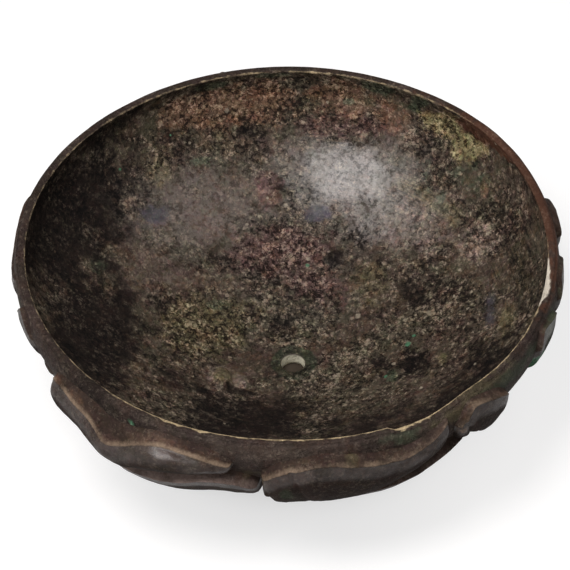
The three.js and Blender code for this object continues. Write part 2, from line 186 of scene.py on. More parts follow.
STAINS = (
    ("speckled tan under the back rim", "tan", -168, 84, 20, 8, 2, 0.9),
    ("speckled tan under the back rim, right", "tan", 168, 86, 13, 6, -4, 0.9),
    ("tan corner at the left", "tan", -152, 86, 6, 4.5, 18, 0.8),
    ("tan stripe at the right", "tan", 156, 84, 8, 4, -6, 0.7),
    ("yellow grains at the left", "olive", -144, 72, 7, 6, -45, 0.7),
    ("green flake under the rim, left", "green", -162, 92, 6, 2.2, 3, 0.9),
    ("green flake under the rim, middle", "green", -176, 93.4, 7, 1.2, -1, 0.8),
    ("green crescent under the rim", "green", 159, 92.5, 6, 3, -1, 1.0),
    ("pale green spot", "green", 166, 85, 2, 1.2, -13, 0.8),
    ("dark green corner", "green", 149, 91, 5, 3, -35, 0.8),
    ("green crust at the right", "lime", 142, 88, 8, 4.5, -20, 0.9),
    ("yellow crust at the right", "lime", 134, 86, 7, 4.5, -46, 1.1),
    ("brown flake at the right rim", "rust", 127, 94, 14, 3.8, -8, 1.3),
    ("brown flake along the right lip", "rust", 104, 95, 24, 2.4, 0, 1.1),
    ("brown lip at the far right", "rust", 84, 94.8, 12, 1.6, 0, 1.0),
    ("dull green field at the right", "green", 131, 79, 11, 6, -18, 0.42),
    ("dull green field lower", "green", 139, 71, 7, 6, 39, 0.42),
    ("red spot", "tan", 125, 78, 2.6, 1.5, 43, 0.8),
    ("olive streak at the right", "olive", 140, 66, 9, 3.2, 0, 0.7),
    ("olive streak lower", "olive", 128, 66, 7, 4, 1, 0.7),
    ("pale pits at the right", "sand", 116, 66, 8, 7, -7, 0.9),
    ("pale ground at the right", "sand", 134, 58, 13, 8, -12, 1.2),
    ("olive streaks on the right wall", "olive", 99, 74, 14, 6.5, -8, 0.3),
    ("dim ground on the right wall", "shade", 96, 74, 18, 9, -6, 0.38),
    ("blue streak", "slate", 91, 62, 11, 2.4, 2, 0.5),
    ("olive near the right rim", "olive", 82, 68, 10, 3.5, -4, 0.7),
    ("smooth plum field at the back", "plum", 165, 78, 14, 4.6, -10, 1.0),
    ("polished spot", "gloss", 164, 64, 22, 11, -8, 1.0),
    ("polished field at the left", "gloss", -148, 58, 24, 14, 15, 0.5),
    ("polished field right of the spot", "gloss", 140, 58, 20, 10, -14, 0.7),
    ("blue oval", "slate", 170, 50, 5, 2.6, -7, 1.1),
    ("plum patch", "plum", -173, 58, 5.5, 4.5, -80, 1.1),
    ("smooth field at the left", "smooth", -148, 58, 20, 11, 15, 1.1),
    ("blue spot at the left", "slate", -134, 62, 5.5, 4.2, 12, 0.75),
    ("grey field at the left", "smooth", -115, 52, 11, 8, 26, 0.95),
    ("paler ground at the left", "sand", -116, 50, 11, 7, 26, 0.5),
    ("grey green blotch", "green", -155, 70, 6, 2.6, 16, 0.55),
    ("olive blotch", "olive", -162, 76, 3, 2.4, 11, 0.7),
    ("olive blotch to its right", "olive", -168, 79, 3.2, 1.6, 7, 0.7),
    ("blue black hollow", "shade", -168, 76, 3.2, 1.3, 8, 1.0),
    ("plum middle", "plum", -176, 38, 16, 8.5, 3, 1.0),
    ("plum middle, lower", "plum", 166, 29, 11, 8, -8, 0.65),
    ("black scab in the middle", "shade", 159, 38, 3.6, 2.9, -9, 1.2),
    ("olive field right of the middle", "olive", 137, 35, 9, 6, 39, 0.5),
    ("smooth olive right of the middle", "smooth", 137, 35, 8, 5.5, 39, 0.35),
    ("black patch at the right", "shade", 117, 41, 6.5, 5, 11, 0.65),
    ("dark ground behind the hole", "shade", -172, 15, 7, 5.5, -78, 0.55),
    ("dark ring round the hole", "shade", -90, 0.5, 7, 7, 0, 0.55),
    ("coarse olive crust at the left", "olive", -112, 28, 17, 11, 43, 1.0),
    ("teal scab at the left", "green", -130, 29, 5, 3.2, 30, 0.6),
    ("smooth olive above the crust", "smooth", -132, 38, 11, 4, 35, 0.8),
    ("green spot at the left", "green", -108, 64, 3.4, 2.6, 0, 1.2),
    # These two rows are partly the dark patina of the left wall and partly painted shade where that wall is
    # turned from the lamps.
    ("dark left wall", "shade", -80, 62, 31, 16, 25, 1.0),
    ("dark upper left wall", "shade", -112, 80, 34, 16, 0, 1.1),
    ("black oval pit", "shade", 76, 38, 7.5, 4.6, -36, 0.8),
    ("arm of the oval pit", "shade", 80, 27, 4, 2.6, -52, 0.8),
    ("green of the pit, below", "green", 68, 32, 3.2, 1.7, -37, 1.0),
    ("green of the pit, right", "olive", 75, 47.5, 4, 1.6, -24, 1.0),
    ("dark ground below the blister", "shade", -38, 30, 13, 5, -38, 0.8),
    ("dark ground left of the blister", "shade", -62, 36, 8, 6, -62, 0.6),
    ("smooth skin of the blister", "smooth", -61, 21, 8, 4.5, 45, 1.1),
    # Painted shadow at the foot of the blister.
    ("dark foot of the blister", "shade", -50, 22.5, 8, 2.2, -51, 0.8),
    ("olive blister", "olive", -63, 24, 5, 3.6, 42, 0.8),
    # The pale lobes are the blister's grey crust and also painted light on their lit tops.
    ("pale left lobe of the blister", "sand", -64, 24.5, 5.4, 3.8, 42, 1.7),
    ("pale right lobe of the blister", "sand", -60, 17.5, 3.8, 2.8, 55, 1.7),
    ("brown streaks low at the left", "tan", -60, 44, 10, 4, 81, 0.22),
    ("olive scab below the hole", "olive", 6, 22, 8, 3.8, -85, 0.8),
    ("dark front floor", "shade", -20, 34, 26, 14, -54, 0.9),
    ("dark floor in front of the hole", "shade", 34, 40, 20, 9, 34, 0.6),
    ("smooth ground at the front right", "smooth", 42, 52, 24, 14, 0, 0.7),
    # These two rows are partly dark patina and partly painted shade on the front wall, which is turned from
    # the lamps.
    ("dark front wall", "shade", 4, 64, 64, 24, 0, 1.4),
    ("dark right front wall", "shade", 52, 68, 30, 18, 0, 1.05),
    ("streaks on the right wall", "streaks", 100, 76, 30, 14, -8, 1.0),
    ("streaks in the polished spot", "streaks", 162, 62, 16, 11, -11, 0.5),
    ("streaks at the back right", "streaks", 140, 64, 18, 9, -8, 0.8),
    ("streaks at the back", "streaks", 168, 73, 12, 4, -8, 0.9),
)

# Small growths on the inside wall: azimuth, way, radius in mm

CREAM_SPECKS = (
    (-165, 82.5, 0.9), (-154, 76, 0.6), (-178, 52.5, 0.8), (-172, 55, 0.6), (-163, 48, 0.6),
    (112, 57, 0.6), (122, 63, 0.6), (104, 52, 0.7), (96, 55, 0.6), (90, 51, 0.6), (60, 45, 0.7),
    (15, 26, 0.7), (138, 93.5, 0.5), (126, 94, 0.6), (118, 91, 0.5), (84, 35, 0.6), (78, 31, 0.7),
    (-30, 40, 0.5), (70, 60, 0.6), (171, 84, 0.6), (128, 25, 1.1), (172, 36, 0.8),
)
GREEN_SPECKS = (
    (172, 34, 0.8), (90, 35, 1.2), (94, 37, 0.7), (68, 30, 0.8), (-150, 80, 0.5), (-134, 78, 0.6)
)

# Coarseness of the pitting, as ovals in the same form without a layer name

PITTING = (
    ("tan ground under the back rim", -172, 84, 32, 10, 0, 0.9),
    ("left of the back", -145, 74, 12, 14, 0, 0.8),
    ("middle", -178, 34, 18, 13, 0, 1.1),
    ("crust at the left", -112, 28, 18, 12, 43, 1.2),
    ("right side", 106, 48, 20, 12, 3, 0.9),
    ("right back", 118, 68, 13, 9, 0, 0.9),
    ("oval pit", 76, 38, 9, 6, -36, 1.6),
    ("green crust", 140, 86, 14, 7, -20, 0.9),
)

# Hollows and lumps of the inside wall: name, azimuth, way, half length, half width, turn, lift

LUMPS = (
    ("blister, left lobe", -63, 24, 5.4, 3.8, 42, 1.9),
    ("blister, right lobe", -58, 17, 3.6, 2.6, 55, 1.6),
    ("pit under the blister", -51, 22, 4.5, 1.4, -51, -0.3),
    ("oval pit", 76, 38, 8, 5.2, -36, -0.8),
    ("arm of the oval pit", 80, 27, 3.5, 2.2, -52, -0.5),
    ("black scab in the middle", 159, 38, 3.2, 2.5, -9, 0.35),
    ("hole in the middle", 170, 32, 1.2, 1.2, 0, -0.7),
    ("scab below the hole", 6, 22, 6.5, 3.2, -85, 0.5),
    ("dent at the back", 165, 73, 9, 1.2, -8, -0.25),
)

# Round the hole, in mm: how far the green halo is full and where it ends, and the worn edge

HALO_FULL_TO = 4.8
HALO_END = 7.4
HOLE_WEAR_WIDTH = 2.2
HOLE_WEAR_DEPTH = 0.35

# Bright inner edge of the lip, rubbed metal that is brightest at the front, where it also paints a
# highlight: azimuth, width in mm, brightness

LIP_EDGE = (
    (-180, 0.24, 0.5),
    (-150, 0.22, 0.42),
    (-100, 0.22, 0.4),
    (-60, 0.28, 0.45),
    (-36, 0.5, 0.6),
    (-31, 0.7, 1.1),
    (-20, 0.8, 1.15),
    (-10, 0.65, 0.95),
    (15, 0.55, 0.8),
    (22, 0.65, 0.9),
    (24.5, 1.3, 1.0),
    (29, 0.9, 0.9),
    (33, 0.5, 0.8),
    (60, 0.5, 0.75),
    (74, 0.45, 0.6),
    (82, 0.25, 0.25),
    (125, 0.15, 0.15),
    (142, 0.24, 0.5),
    (160, 0.28, 0.6),
    (180, 0.24, 0.5),
)

# Chip of bare cream metal on the right of the lip: azimuth, width in mm from the inner edge

LIP_SLIVER = ((71.5, 0.0), (73, 0.4), (75.5, 1.7), (77.5, 1.7), (81, 0.9), (86, 0.3), (87.5, 0.0))

# Stains on the outer side: name, layer, azimuth, height, half length, half height, strength, where

OUTER_STAINS = (
    ("paler wall over the front body", "sand", -2, 48.5, 16, 3.2, 0.65, "wall"),
    ("dark wall over the front left body", "shade", -46, 49, 24, 4, 0.6, "wall"),
    ("verdigris spot over the front left body", "vivid", -34, 49, 1.1, 0.8, 0.55, "wall"),
    ("green gold patch on the front body", "olive", 12.5, 47.5, 2.2, 1.8, 0.55, "all"),
    ("green tint on the round head", "green", -0.5, 39.5, 2.2, 2.2, 0.9, "relief"),
    ("olive tint at the end of the front body", "olive", -8, 40, 3.5, 2.0, 0.8, "all"),
    ("olive wall at the front right", "olive", 42, 50, 20, 2.6, 0.8, "wall"),
    ("green wall at the front right", "green", 50, 48, 18, 3.0, 0.8, "wall"),
    ("green wall over the front body", "green", 24, 50, 9, 2.0, 0.6, "wall"),
    ("tan knob", "tan", 37.5, 45, 1.2, 1.0, 1.2, "relief"),
    ("bright green lump at the right", "vivid", 64, 41, 3.4, 3.2, 1.3, "all"),
    ("green side of the right body", "green", 71, 46, 8, 4, 0.9, "all"),
    ("teal body further back", "green", 84, 46, 7, 4, 0.6, "all"),
    ("green edge at the left", "green", -76, 46, 6, 3, 0.7, "all"),
    ("red brown lip at the right", "rust", 110, 51, 46, 3, 1.1, "wall"),
)

# Layers of patina, each kept as a value at every vertex; the shade and sand layers also carry painted shade
# and painted light

LAYERS = (
    "tan", "olive", "green", "lime", "vivid", "plum", "slate", "rust", "shade", "sand", "smooth", "gloss",
    "streaks",
)


def tone(code):
    """A screen colour such as 5a4030 as linear values."""
    parts = [int(code[i : i + 2], 16) / 255 for i in (0, 2, 4)]
    return [c / 12.92 if c <= 0.04045 else ((c + 0.055) / 1.055) ** 2.4 for c in parts] + [1.0]


def colour_property(name, description, code):
    return FloatVectorProperty(
        name=name, description=description, default=tone(code), size=4, min=0, max=1, subtype="COLOR"
    )


def length_property(name, description, millimetres, most=200):
    return FloatProperty(
        name=name, description=description, default=millimetres * MM, min=0, max=most * MM, unit="LENGTH"
    )


def power_property(name, description, watts):
    return FloatProperty(name=name, description=description, default=watts, unit="POWER")


class BowlSizes(bpy.types.PropertyGroup):
    """Sizes of the bowl that the looks need."""

    wall: length_property("Wall", "Thickness of the wall at the belly", 2.6)
    floor: length_property("Floor", "Thickness of the floor at the hole", 4.4)
    lip: length_property("Lip", "Width of the top of the rim", 2.2)
    bevel: length_property("Lip bevel", "How far the lip falls inwards", 0.7)
    elbow: length_property("Elbowed bodies", "How far the elbowed bodies stand out", 8.2)
    head: length_property("Headed bodies", "How far the bodies with a round head stand out", 6.4)
    leaf: length_property("Leaves", "How far the short leaf bodies stand out", 2.3)
    band: length_property("Lower bands", "How far the bands under the elbowed bodies stand out", 8.4)
    strip: length_property("Lower strips", "How far the strips under the headed bodies stand out", 6.4)
    flat: length_property("Flat strips", "How far the flat lower bodies stand out", 2.4)
    pit: length_property("Pit depth", "Depth of the deepest pits inside", 0.32)
    turns: IntProperty(name="Turns", description="Points round the rim", default=640, min=80, max=1280)


class BowlColours(bpy.types.PropertyGroup):
    """Colours of the patina, as they look under plain light."""

    ground: colour_property("Ground", "Brown ground of the patina", "483d34")
    ground_olive: colour_property("Olive ground", "Olive brown ground of the patina", "4a4438")
    skin: colour_property("Skin", "Smooth grey brown skin", "50443b")
    tan: colour_property("Tan", "Tan and orange corrosion", "6a5342")
    olive: colour_property("Olive", "Yellow olive crust", "615a41")
    green: colour_property("Green", "Grey green crust", "454e3d")
    lime: colour_property("Lime", "Pale yellow green crust", "989068")
    vivid: colour_property("Bright green", "Small bright green growths", "5f9a76")
    plum: colour_property("Plum", "Purple brown patina", "5c4844")
    slate: colour_property("Slate", "Blue grey spots", "43424a")
    rust: colour_property("Rust", "Smooth red brown skin", "4e3326")
    # Black brown patina, also used inside as painted shade on the left and front walls and as the painted
    # shadow at the foot of the blister.
    shade: colour_property("Black", "Black brown patina", "170f0c")
    pale: colour_property("Cream", "Cream grains", "b4a894")
    # Pale grey tan crust, also used as painted light on the tops of the blister's lobes.
    sand: colour_property("Sand", "Pale grey tan crust", "665b52")
    # Pale green crust of the hole's wall, made paler as painted light on the lit far wall.
    hole: colour_property("Hole", "Pale green wall of the hole", "efecd6")
    outside: colour_property("Outside", "Smooth brown patina of the outer wall", "40352f")
    relief: colour_property("Relief", "Purple brown patina of the relief", "322823")
    copper: colour_property("Rubbed ridge", "Rubbed tan of the ridges", "877563")
    dull: colour_property("Dull ridge", "Pinkish grey of the dull ridges", "85756e")
    # Pale rubbed gold of the lip, made paler to paint the highlight along its front.
    gold: colour_property("Rubbed lip", "Rubbed pale gold of the lip", "dfc9a0")
    bare: colour_property("Bare chip", "Cream metal bared by a chip", "d8cfbf")


class BowlStudio(bpy.types.PropertyGroup):
    """Lamps, floor and camera."""

    key: power_property("Key lamp", "Power of the lamp above the left shoulder", 4.6)
    side: power_property("Side lamp", "Power of the lamp at the right", 1.5)
    fill: power_property("Fill lamp", "Power of the low lamp at the left", 1.8)
    ambient: FloatProperty(name="Ambient", description="Level of the light from all round", default=0.12)
    distance: length_property("Camera distance", "From the lens to the middle of the rim", 1000, 5000)
    elevation: FloatProperty(
        name="Elevation", description="Height of the camera above level", default=math.radians(45.2),
        subtype="ANGLE",
    )
    lens: FloatProperty(
        name="Lens", description="Focal length on a 36 mm sensor", default=224.8, unit="CAMERA"
    )


class BronzeBowl(bpy.types.PropertyGroup):
    """Everything that can be set on the bowl."""

    sizes: PointerProperty(type=BowlSizes)
    colours: PointerProperty(type=BowlColours)
    studio: PointerProperty(type=BowlStudio)


# Shape of the wall


def turn_between(azimuth, middle):
    return (np.asarray(azimuth, float) - middle + 180) % 360 - 180


def ease(value, low, high):
    """Smooth step from 0 at low to 1 at high."""
    t = np.clip((np.asarray(value, float) - low) / (high - low), 0, 1)
    return t * t * (3 - 2 * t)


def swelling(share):
    return (1 - (1 - np.clip(share, 0, 1)) ** BELLY_ROUND) ** FOOT_TAPER


def outer_radius(height):
    widest = RIM_RADIUS + BELLY_SWELL
    drawn_in = np.clip((height - BELLY_HEIGHT) / (HEIGHT - BELLY_HEIGHT), 0, 1)
    low = FOOT_RADIUS + (widest - FOOT_RADIUS) * swelling(height / BELLY_HEIGHT)
    return np.where(height < BELLY_HEIGHT, low, widest - BELLY_SWELL * drawn_in**2)


def inner_radius(height, sizes):
    widest = RIM_RADIUS + BELLY_SWELL - sizes.wall / MM
    floor = sizes.floor / MM
    top = HEIGHT - sizes.bevel / MM
    low = FLOOR_RADIUS + (widest - FLOOR_RADIUS) * swelling((height - floor) / (BELLY_HEIGHT - floor))
    drawn_in = np.clip((height - BELLY_HEIGHT) / (top - BELLY_HEIGHT), 0, 1)
    high = widest + (RIM_RADIUS - sizes.lip / MM - widest) * drawn_in**2
    return np.where(height < BELLY_HEIGHT, low, high)


def fade_in(share, start):
    return np.clip((share - start) / (1 - start), 0, 1)


def knocked_out(azimuth):
    total = np.zeros_like(np.asarray(azimuth, float))
    for middle, spread, push in RIM_KNOCKS:
        total += push * np.exp(-((turn_between(azimuth, middle) / spread) ** 2) / 2)
    return total


def worn_down(azimuth):
    turn = turn_between(azimuth, 0)
    fallen = np.clip((turn - CHIP_START) / (CHIP_FLAT_START - CHIP_START), 0, 1)
    recovered = np.clip((turn - CHIP_FLAT_END) / (CHIP_END - CHIP_FLAT_END), 0, 1)
    return CHIP_DEPTH * fallen * (1 - recovered)


def settle(radius, azimuth, height):
    """Points of the knocked, chipped and leaning bowl, in mm."""
    share = height / HEIGHT
    reach = radius + knocked_out(azimuth) * fade_in(share, KNOCKED_FROM)
    angle = np.radians(azimuth)
    x = reach * np.sin(angle) + FOOT_SHIFT * (1 - share) + RIM_AXIS[0]
    y = -reach * np.cos(angle) + RIM_AXIS[1]
    return np.stack([x, y, height - worn_down(azimuth) * fade_in(share, WORN_FROM)], axis=-1)


def on_wall(azimuth, height, out):
    """Points of the outer wall, moved out along its normal."""
    reach = 0.05
    above = np.minimum(height + reach, HEIGHT)
    below = np.maximum(height - reach, 0)
    across = outer_radius(above) - outer_radius(below)
    length = np.hypot(across, above - below)
    radius = outer_radius(height) + (above - below) / length * out
    return settle(radius, azimuth, height - across / length * out)


# Noise that is the same in every run


def rough(points, size, octaves=3):
    """Fractal noise of the points, about -1 to 1, with lumps of that size in mm."""
    scaled = np.asarray(points) / size
    return np.array([noise.fractal(Vector(p), 0.9, 2.1, octaves) for p in scaled])


def cells(points, size):
    """Distance to the nearest of scattered points, in shares of that size in mm."""
    scaled = np.asarray(points) / size
    return np.array([noise.voronoi(Vector(p))[0][0] for p in scaled])


# Profile and mesh of the shell


def spaced(points, step):
    """The polyline through the points, with even steps."""
    points = np.asarray(points, float)
    way = np.concatenate([[0], np.cumsum(np.hypot(*np.diff(points, axis=0).T))])
    count = max(1, round(way[-1] / step))
    at = np.linspace(0, way[-1], count + 1)
    return np.stack([np.interp(at, way, points[:, 0]), np.interp(at, way, points[:, 1])], axis=-1)


# Step between the points of the section's stretches, in mm: inside, lip, outside, foot and hole

SECTION_STEPS = (0.75, 0.28, 1.45, 1.4, 0.75)
INSIDE, LIP, HOLE = 0, 1, 4

# Edge in mm below which a ring gets half as many points, and how close two points count as one

LEAST_EDGE = 0.34
SAME_POINT = 0.02


def shell_profile(sizes):
    """Points of radius and height for each stretch of the section, round from the hole's top."""
    floor, lip, bevel = sizes.floor / MM, sizes.lip / MM, sizes.bevel / MM
    near_floor, up_wall = np.linspace(floor, floor + 1, 30), np.linspace(floor + 1, HEIGHT - bevel, 300)
    inside = [(HOLE_RADIUS + EDGE_BREAK, floor), (FLOOR_RADIUS, floor)]
    inside += [(float(inner_radius(h, sizes)), h) for h in np.concatenate([near_floor[1:], up_wall[1:]])]
    lip_top = [
        (RIM_RADIUS - lip, HEIGHT - bevel),
        (RIM_RADIUS - lip + ARRIS * 0.5, HEIGHT - bevel + ARRIS),
        (RIM_RADIUS - CROWN_INSET, HEIGHT - CROWN_DROP),
    ]
    for angle in np.linspace(0, math.pi / 2, 6):
        radius = RIM_RADIUS - LIP_ROUND + LIP_ROUND * math.sin(angle)
        lip_top.append((radius, HEIGHT - LIP_ROUND + LIP_ROUND * math.cos(angle)))
    outside = [(float(outer_radius(h)), h) for h in np.linspace(HEIGHT - LIP_ROUND, FOOT_EDGE, 300)]
    foot = [(FOOT_RADIUS - EDGE_BREAK, 0.0), (HOLE_RADIUS + EDGE_BREAK, 0.0)]
    hole = [(HOLE_RADIUS, EDGE_BREAK), (HOLE_RADIUS, floor - EDGE_BREAK)]
    stretches = (inside, lip_top, outside, foot, hole)
    return [spaced(points, step) for points, step in zip(stretches, SECTION_STEPS)]


def ring_count(radius, side, turns):
    """Points in a ring, halved on small rings and on the plain outer side."""
    count = turns if side in (INSIDE, LIP) else turns // 2
    while radius * math.tau / count < LEAST_EDGE and count > turns // 8:
        count //= 2
    return count


def stitched(first, second):
    """Faces between two rings of vertex numbers, where one may have twice as many."""
    if len(first) > len(second):
        return [face[::-1] for face in stitched(second, first)]
    faces = []
    for i in range(len(first)):
        after = (i + 1) % len(first)
        if len(first) == len(second):
            faces.append((first[i], second[i], second[after], first[after]))
        else:
            a, b, c = second[2 * i], second[2 * i + 1], second[(2 * i + 2) % len(second)]
            faces += [(first[i], a, b), (first[i], b, first[after]), (first[after], b, c)]
    return faces


def shell_grid(sizes):
    """Radius, azimuth, height, side and way of every vertex, and the faces."""
    rings = []
    start = 0
    way = 0.0
    last = None
    grid = []
    for side, points in enumerate(shell_profile(sizes)):
        for r, h in points:
            if last is not None:
                way += math.dist(last, (r, h))
                if math.dist(last, (r, h)) < SAME_POINT:
                    continue
            last = (r, h)
            count = ring_count(r, side, sizes.turns)
            ring = [np.full(count, value) for value in (r, 0.0, h, side, way + HOLE_RADIUS)]
            ring[1] = np.arange(count) * 360 / count
            grid.append(ring)
            rings.append(np.arange(start, start + count))
            start += count
    faces = []
    for first, second in zip(rings, rings[1:] + rings[:1]):
        faces += stitched(list(first), list(second))
    return [np.concatenate(part) for part in zip(*grid)], faces


def wall_table(sizes):
    """Way along the inside wall, from the middle of the floor, with its radius and height."""
    floor = sizes.floor / MM
    heights = np.linspace(floor, HEIGHT - sizes.bevel / MM, 2000)
    radii = inner_radius(heights, sizes)
    way = FLOOR_RADIUS + np.concatenate([[0], np.cumsum(np.hypot(np.diff(heights), np.diff(radii)))])
    return np.concatenate([[0], way]), np.concatenate([[0], radii]), np.concatenate([[floor], heights])


def oval(points, table, azimuth, way, long, short, turn):
    """How far points of the inside lie from an oval's middle: 0 there and 1 at its edge."""
    ways, radii, heights = table
    step = 0.5

    def on_section(at):
        return np.array([np.interp(at, ways, radii), np.interp(at, ways, heights)])

    radius, height = on_section(way)
    rise = on_section(way + step) - on_section(max(way - step, 0))
    climb = rise / np.hypot(*rise)
    angle = math.radians(azimuth)
    outwards = np.array([math.sin(angle), -math.cos(angle), 0])
    around = np.array([math.cos(angle), math.sin(angle), 0])
    up_wall = outwards * climb[0] + np.array([0, 0, climb[1]])
    middle = settle(radius, azimuth, height)
    away = points - middle
    u, v = away @ around, away @ up_wall
    c, s = math.cos(math.radians(turn)), math.sin(math.radians(turn))
    along_oval, across_oval = (u * c + v * s) / long, (v * c - u * s) / short
    depth = away @ np.cross(around, up_wall) / (long + short)
    return np.sqrt(along_oval**2 + across_oval**2 + depth**2)


def inside_surface(points, ways, table, sizes):
    """Lift along the normal in mm, and the layers of patina, for points of the inside."""
    ragged = rough(points, 9.0, 3) * 0.3 + rough(points, 3.0, 3) * 0.3
    layers = {name: np.zeros(len(points)) for name in LAYERS}
    for _, layer, azimuth, way, long, short, turn, strength in STAINS:
        distance = oval(points, table, azimuth, way, long, short, turn) + ragged
        layers[layer] = np.maximum(layers[layer], strength * (1 - ease(distance, 0.3, 1.45)))
    from_hole = np.hypot(points[:, 0] - hole_middle()[0], points[:, 1] - hole_middle()[1])
    halo = 1.3 * (1 - ease(from_hole + 2 * ragged, HALO_FULL_TO, HALO_END))
    layers["green"] = np.maximum(layers["green"], halo)
    coarse = np.full(len(points), 0.3)
    for _, azimuth, way, long, short, turn, strength in PITTING:
        distance = oval(points, table, azimuth, way, long, short, turn) + ragged
        coarse = np.maximum(coarse, strength * (1 - ease(distance, 0.5, 1.3)))
    coarse *= 1 - 0.85 * np.clip(layers["smooth"], 0, 1)
    coarse *= 1 - 0.9 * np.clip(layers["rust"], 0, 1)
    near_lip = ease(ways, table[0][-1] - 2.5, table[0][-1])
    pits = (1 - ease(cells(points, 1.5), 0.1, 0.42)) * coarse * ease(rough(points, 5, 2), -0.5, 0.5)
    lumps = rough(points, 1.9, 3) * coarse
    lift = -pits * sizes.pit / MM + lumps * 0.09 + rough(points, 14, 2) * 0.12
    for _, azimuth, way, long, short, turn, height in LUMPS:
        distance = oval(points, table, azimuth, way, long, short, turn) + ragged * 0.5
        lift += height * (1 - ease(distance, 0.35, 1.1))
    lift += 0.1 * np.clip(layers["smooth"] + layers["rust"], 0, 1)
    lift -= HOLE_WEAR_DEPTH * (1 - ease(from_hole, HOLE_RADIUS, HOLE_RADIUS + HOLE_WEAR_WIDTH))
    layers["pits"] = pits
    layers["coarse"] = coarse
    return lift * (1 - near_lip), layers


def hole_middle():
    return RIM_AXIS[0] + FOOT_SHIFT, RIM_AXIS[1]


def lip_gold(azimuth, from_arris, points):
    """Bright rubbed metal along the inner edge of the lip, with a painted highlight where it is brightest at
    the front.
    """
    turn = turn_between(azimuth, 0)
    turns, widths, brightness = np.array(LIP_EDGE).T
    width = np.interp(turn, turns, widths) * (1 + 0.8 * rough(points, 2.4, 3))
    bright = np.interp(turn, turns, brightness) * (0.9 + 0.8 * rough(points, 3.0, 3))
    return bright * (1 - ease(np.abs(from_arris) / np.maximum(width, 0.1), 0.7, 1.6))


def lip_sliver(azimuth, from_arris, points):
    """Bare cream metal where a chip has left the right of the lip."""
    turns, widths = np.array(LIP_SLIVER).T
    width = np.interp(turn_between(azimuth, 0), turns, widths) * (1 + 0.3 * rough(points, 1.5, 2))
    return (width > 0.05) * (1 - ease(np.abs(from_arris - 0.1) / np.maximum(width, 0.05), 0.8, 1.1))


def outer_stains(azimuth, height, points, part):
    """Layers of patina on that part of the outer side, from azimuths, heights and points."""
    ragged = rough(points, 3.0, 3) * 0.45
    layers = {}
    for _, layer, middle, level, half_length, half_height, strength, where in OUTER_STAINS:
        if where not in ("all", part):
            continue
        along_wall = np.radians(turn_between(azimuth, middle)) * RIM_RADIUS / half_length
        distance = np.hypot(along_wall, (height - level) / half_height) + ragged
        amount = strength * (1 - ease(distance, 0.4, 1.3))
        layers[layer] = np.maximum(layers.get(layer, 0), amount)
    return layers


def shell_points(sizes):
    """Finished vertices of the shell in mm, its faces and the layers of patina on it."""
    (radius, azimuth, height, side, ways), faces = shell_grid(sizes)
    table = wall_table(sizes)
    points = settle(radius, azimuth, height)
    normals = grid_normals(points, faces)
    layers = {name: np.zeros(len(points)) for name in LAYERS + ("pits", "coarse", "gold", "outside")}
    inner, outer = side <= LIP, side > LIP
    inside_ways = np.where(side == INSIDE, ways, table[0][-1])
    lift, found = inside_surface(points[inner], inside_ways[inner], table, sizes)
    for name, values in found.items():
        layers[name][inner] = values
    bumps = np.zeros(len(points))
    bumps[inner] = lift
    bumps[outer] = rough(points[outer], 9, 3) * 0.1 * (height[outer] > 1)
    layers["outside"] = np.where(side >= LIP, 1.0, 0.0)
    from_arris = ways - ways[side == LIP].min()
    layers["gold"] = lip_gold(azimuth, from_arris, points) * (np.abs(from_arris) < 3)
    layers["sliver"] = lip_sliver(azimuth, from_arris, points) * (np.abs(from_arris) < 3)
    # Pale wall of the hole, partly painted light.
    layers["hole"] = np.where((side == HOLE) & (height < sizes.floor / MM - 0.6), 1.0, 0.0)
    for name, values in outer_stains(azimuth, height, points, "wall").items():
        layers[name] = np.where(side >= LIP, values, layers[name])
    bumps += layers["gold"] * rough(points, 1.2, 2) * 0.05
    return points + normals * bumps[:, None], faces, layers


def grid_normals(points, faces):
    """Vertex normals, summed from the faces."""
    normals = np.zeros_like(points)
    for face_size in (3, 4):
        chosen = np.array([f for f in faces if len(f) == face_size])
        if not len(chosen):
            continue
        first, second, third = (points[chosen[:, k]] for k in range(3))
        crossed = np.cross(second - first, third - first)
        for k in range(face_size):
            np.add.at(normals, chosen[:, k], crossed)
    length = np.linalg.norm(normals, axis=1, keepdims=True)
    return normals / np.maximum(length, 1e-9)


# Relief bodies

# In mm: the gap above a lower body, and the least step between the heights of a section

SEAM_GAP = 0.5
LEAST_STEP = 0.9

# Past the end of a lower body: degrees for which its seam holds, and then its fall in mm to the degree

SEAM_HOLD = 2.0
SEAM_FALL = 2.4

# About how many degrees lie between the sections of a body

BODY_STEP = 0.55

# In mm: how far the top of a body and its back lie under the wall, and the bead on its crest

SUNK = -0.35
BACK_DEPTH = 0.9
BEAD_HEIGHT = 0.22
BEAD_WIDTH = 0.4

# The ends of a body: degrees over which it rises out of the wall, and how deep its tip lies in mm

END_FADE = 1.1
END_SUNK = 0.5

# Share of tan stain above the crests of each row

UPPER_TAN = 0.32
LOWER_TAN = 0.1


def length_of(shape):
    return shape[-1][0]


def along(rows, column, at):
    """A curve through the rows that never swings past them."""
    k = 0
    while k < len(rows) - 2 and rows[k + 1][0] < at:
        k += 1

    def slope(i):
        return (rows[i + 1][column] - rows[i][column]) / (rows[i + 1][0] - rows[i][0])

    def tangent(i):
        if i == 0:
            return slope(0)
        if i == len(rows) - 1:
            return slope(i - 1)
        before, after = slope(i - 1), slope(i)
        return 2 * before * after / (before + after) if before * after > 0 else 0

    width = rows[k + 1][0] - rows[k][0]
    t = (at - rows[k][0]) / width
    return (
        (2 * t**3 - 3 * t**2 + 1) * rows[k][column]
        + (t**3 - 2 * t**2 + t) * width * tangent(k)
        + (3 * t**2 - 2 * t**3) * rows[k + 1][column]
        + (t**3 - t**2) * width * tangent(k + 1)
    )


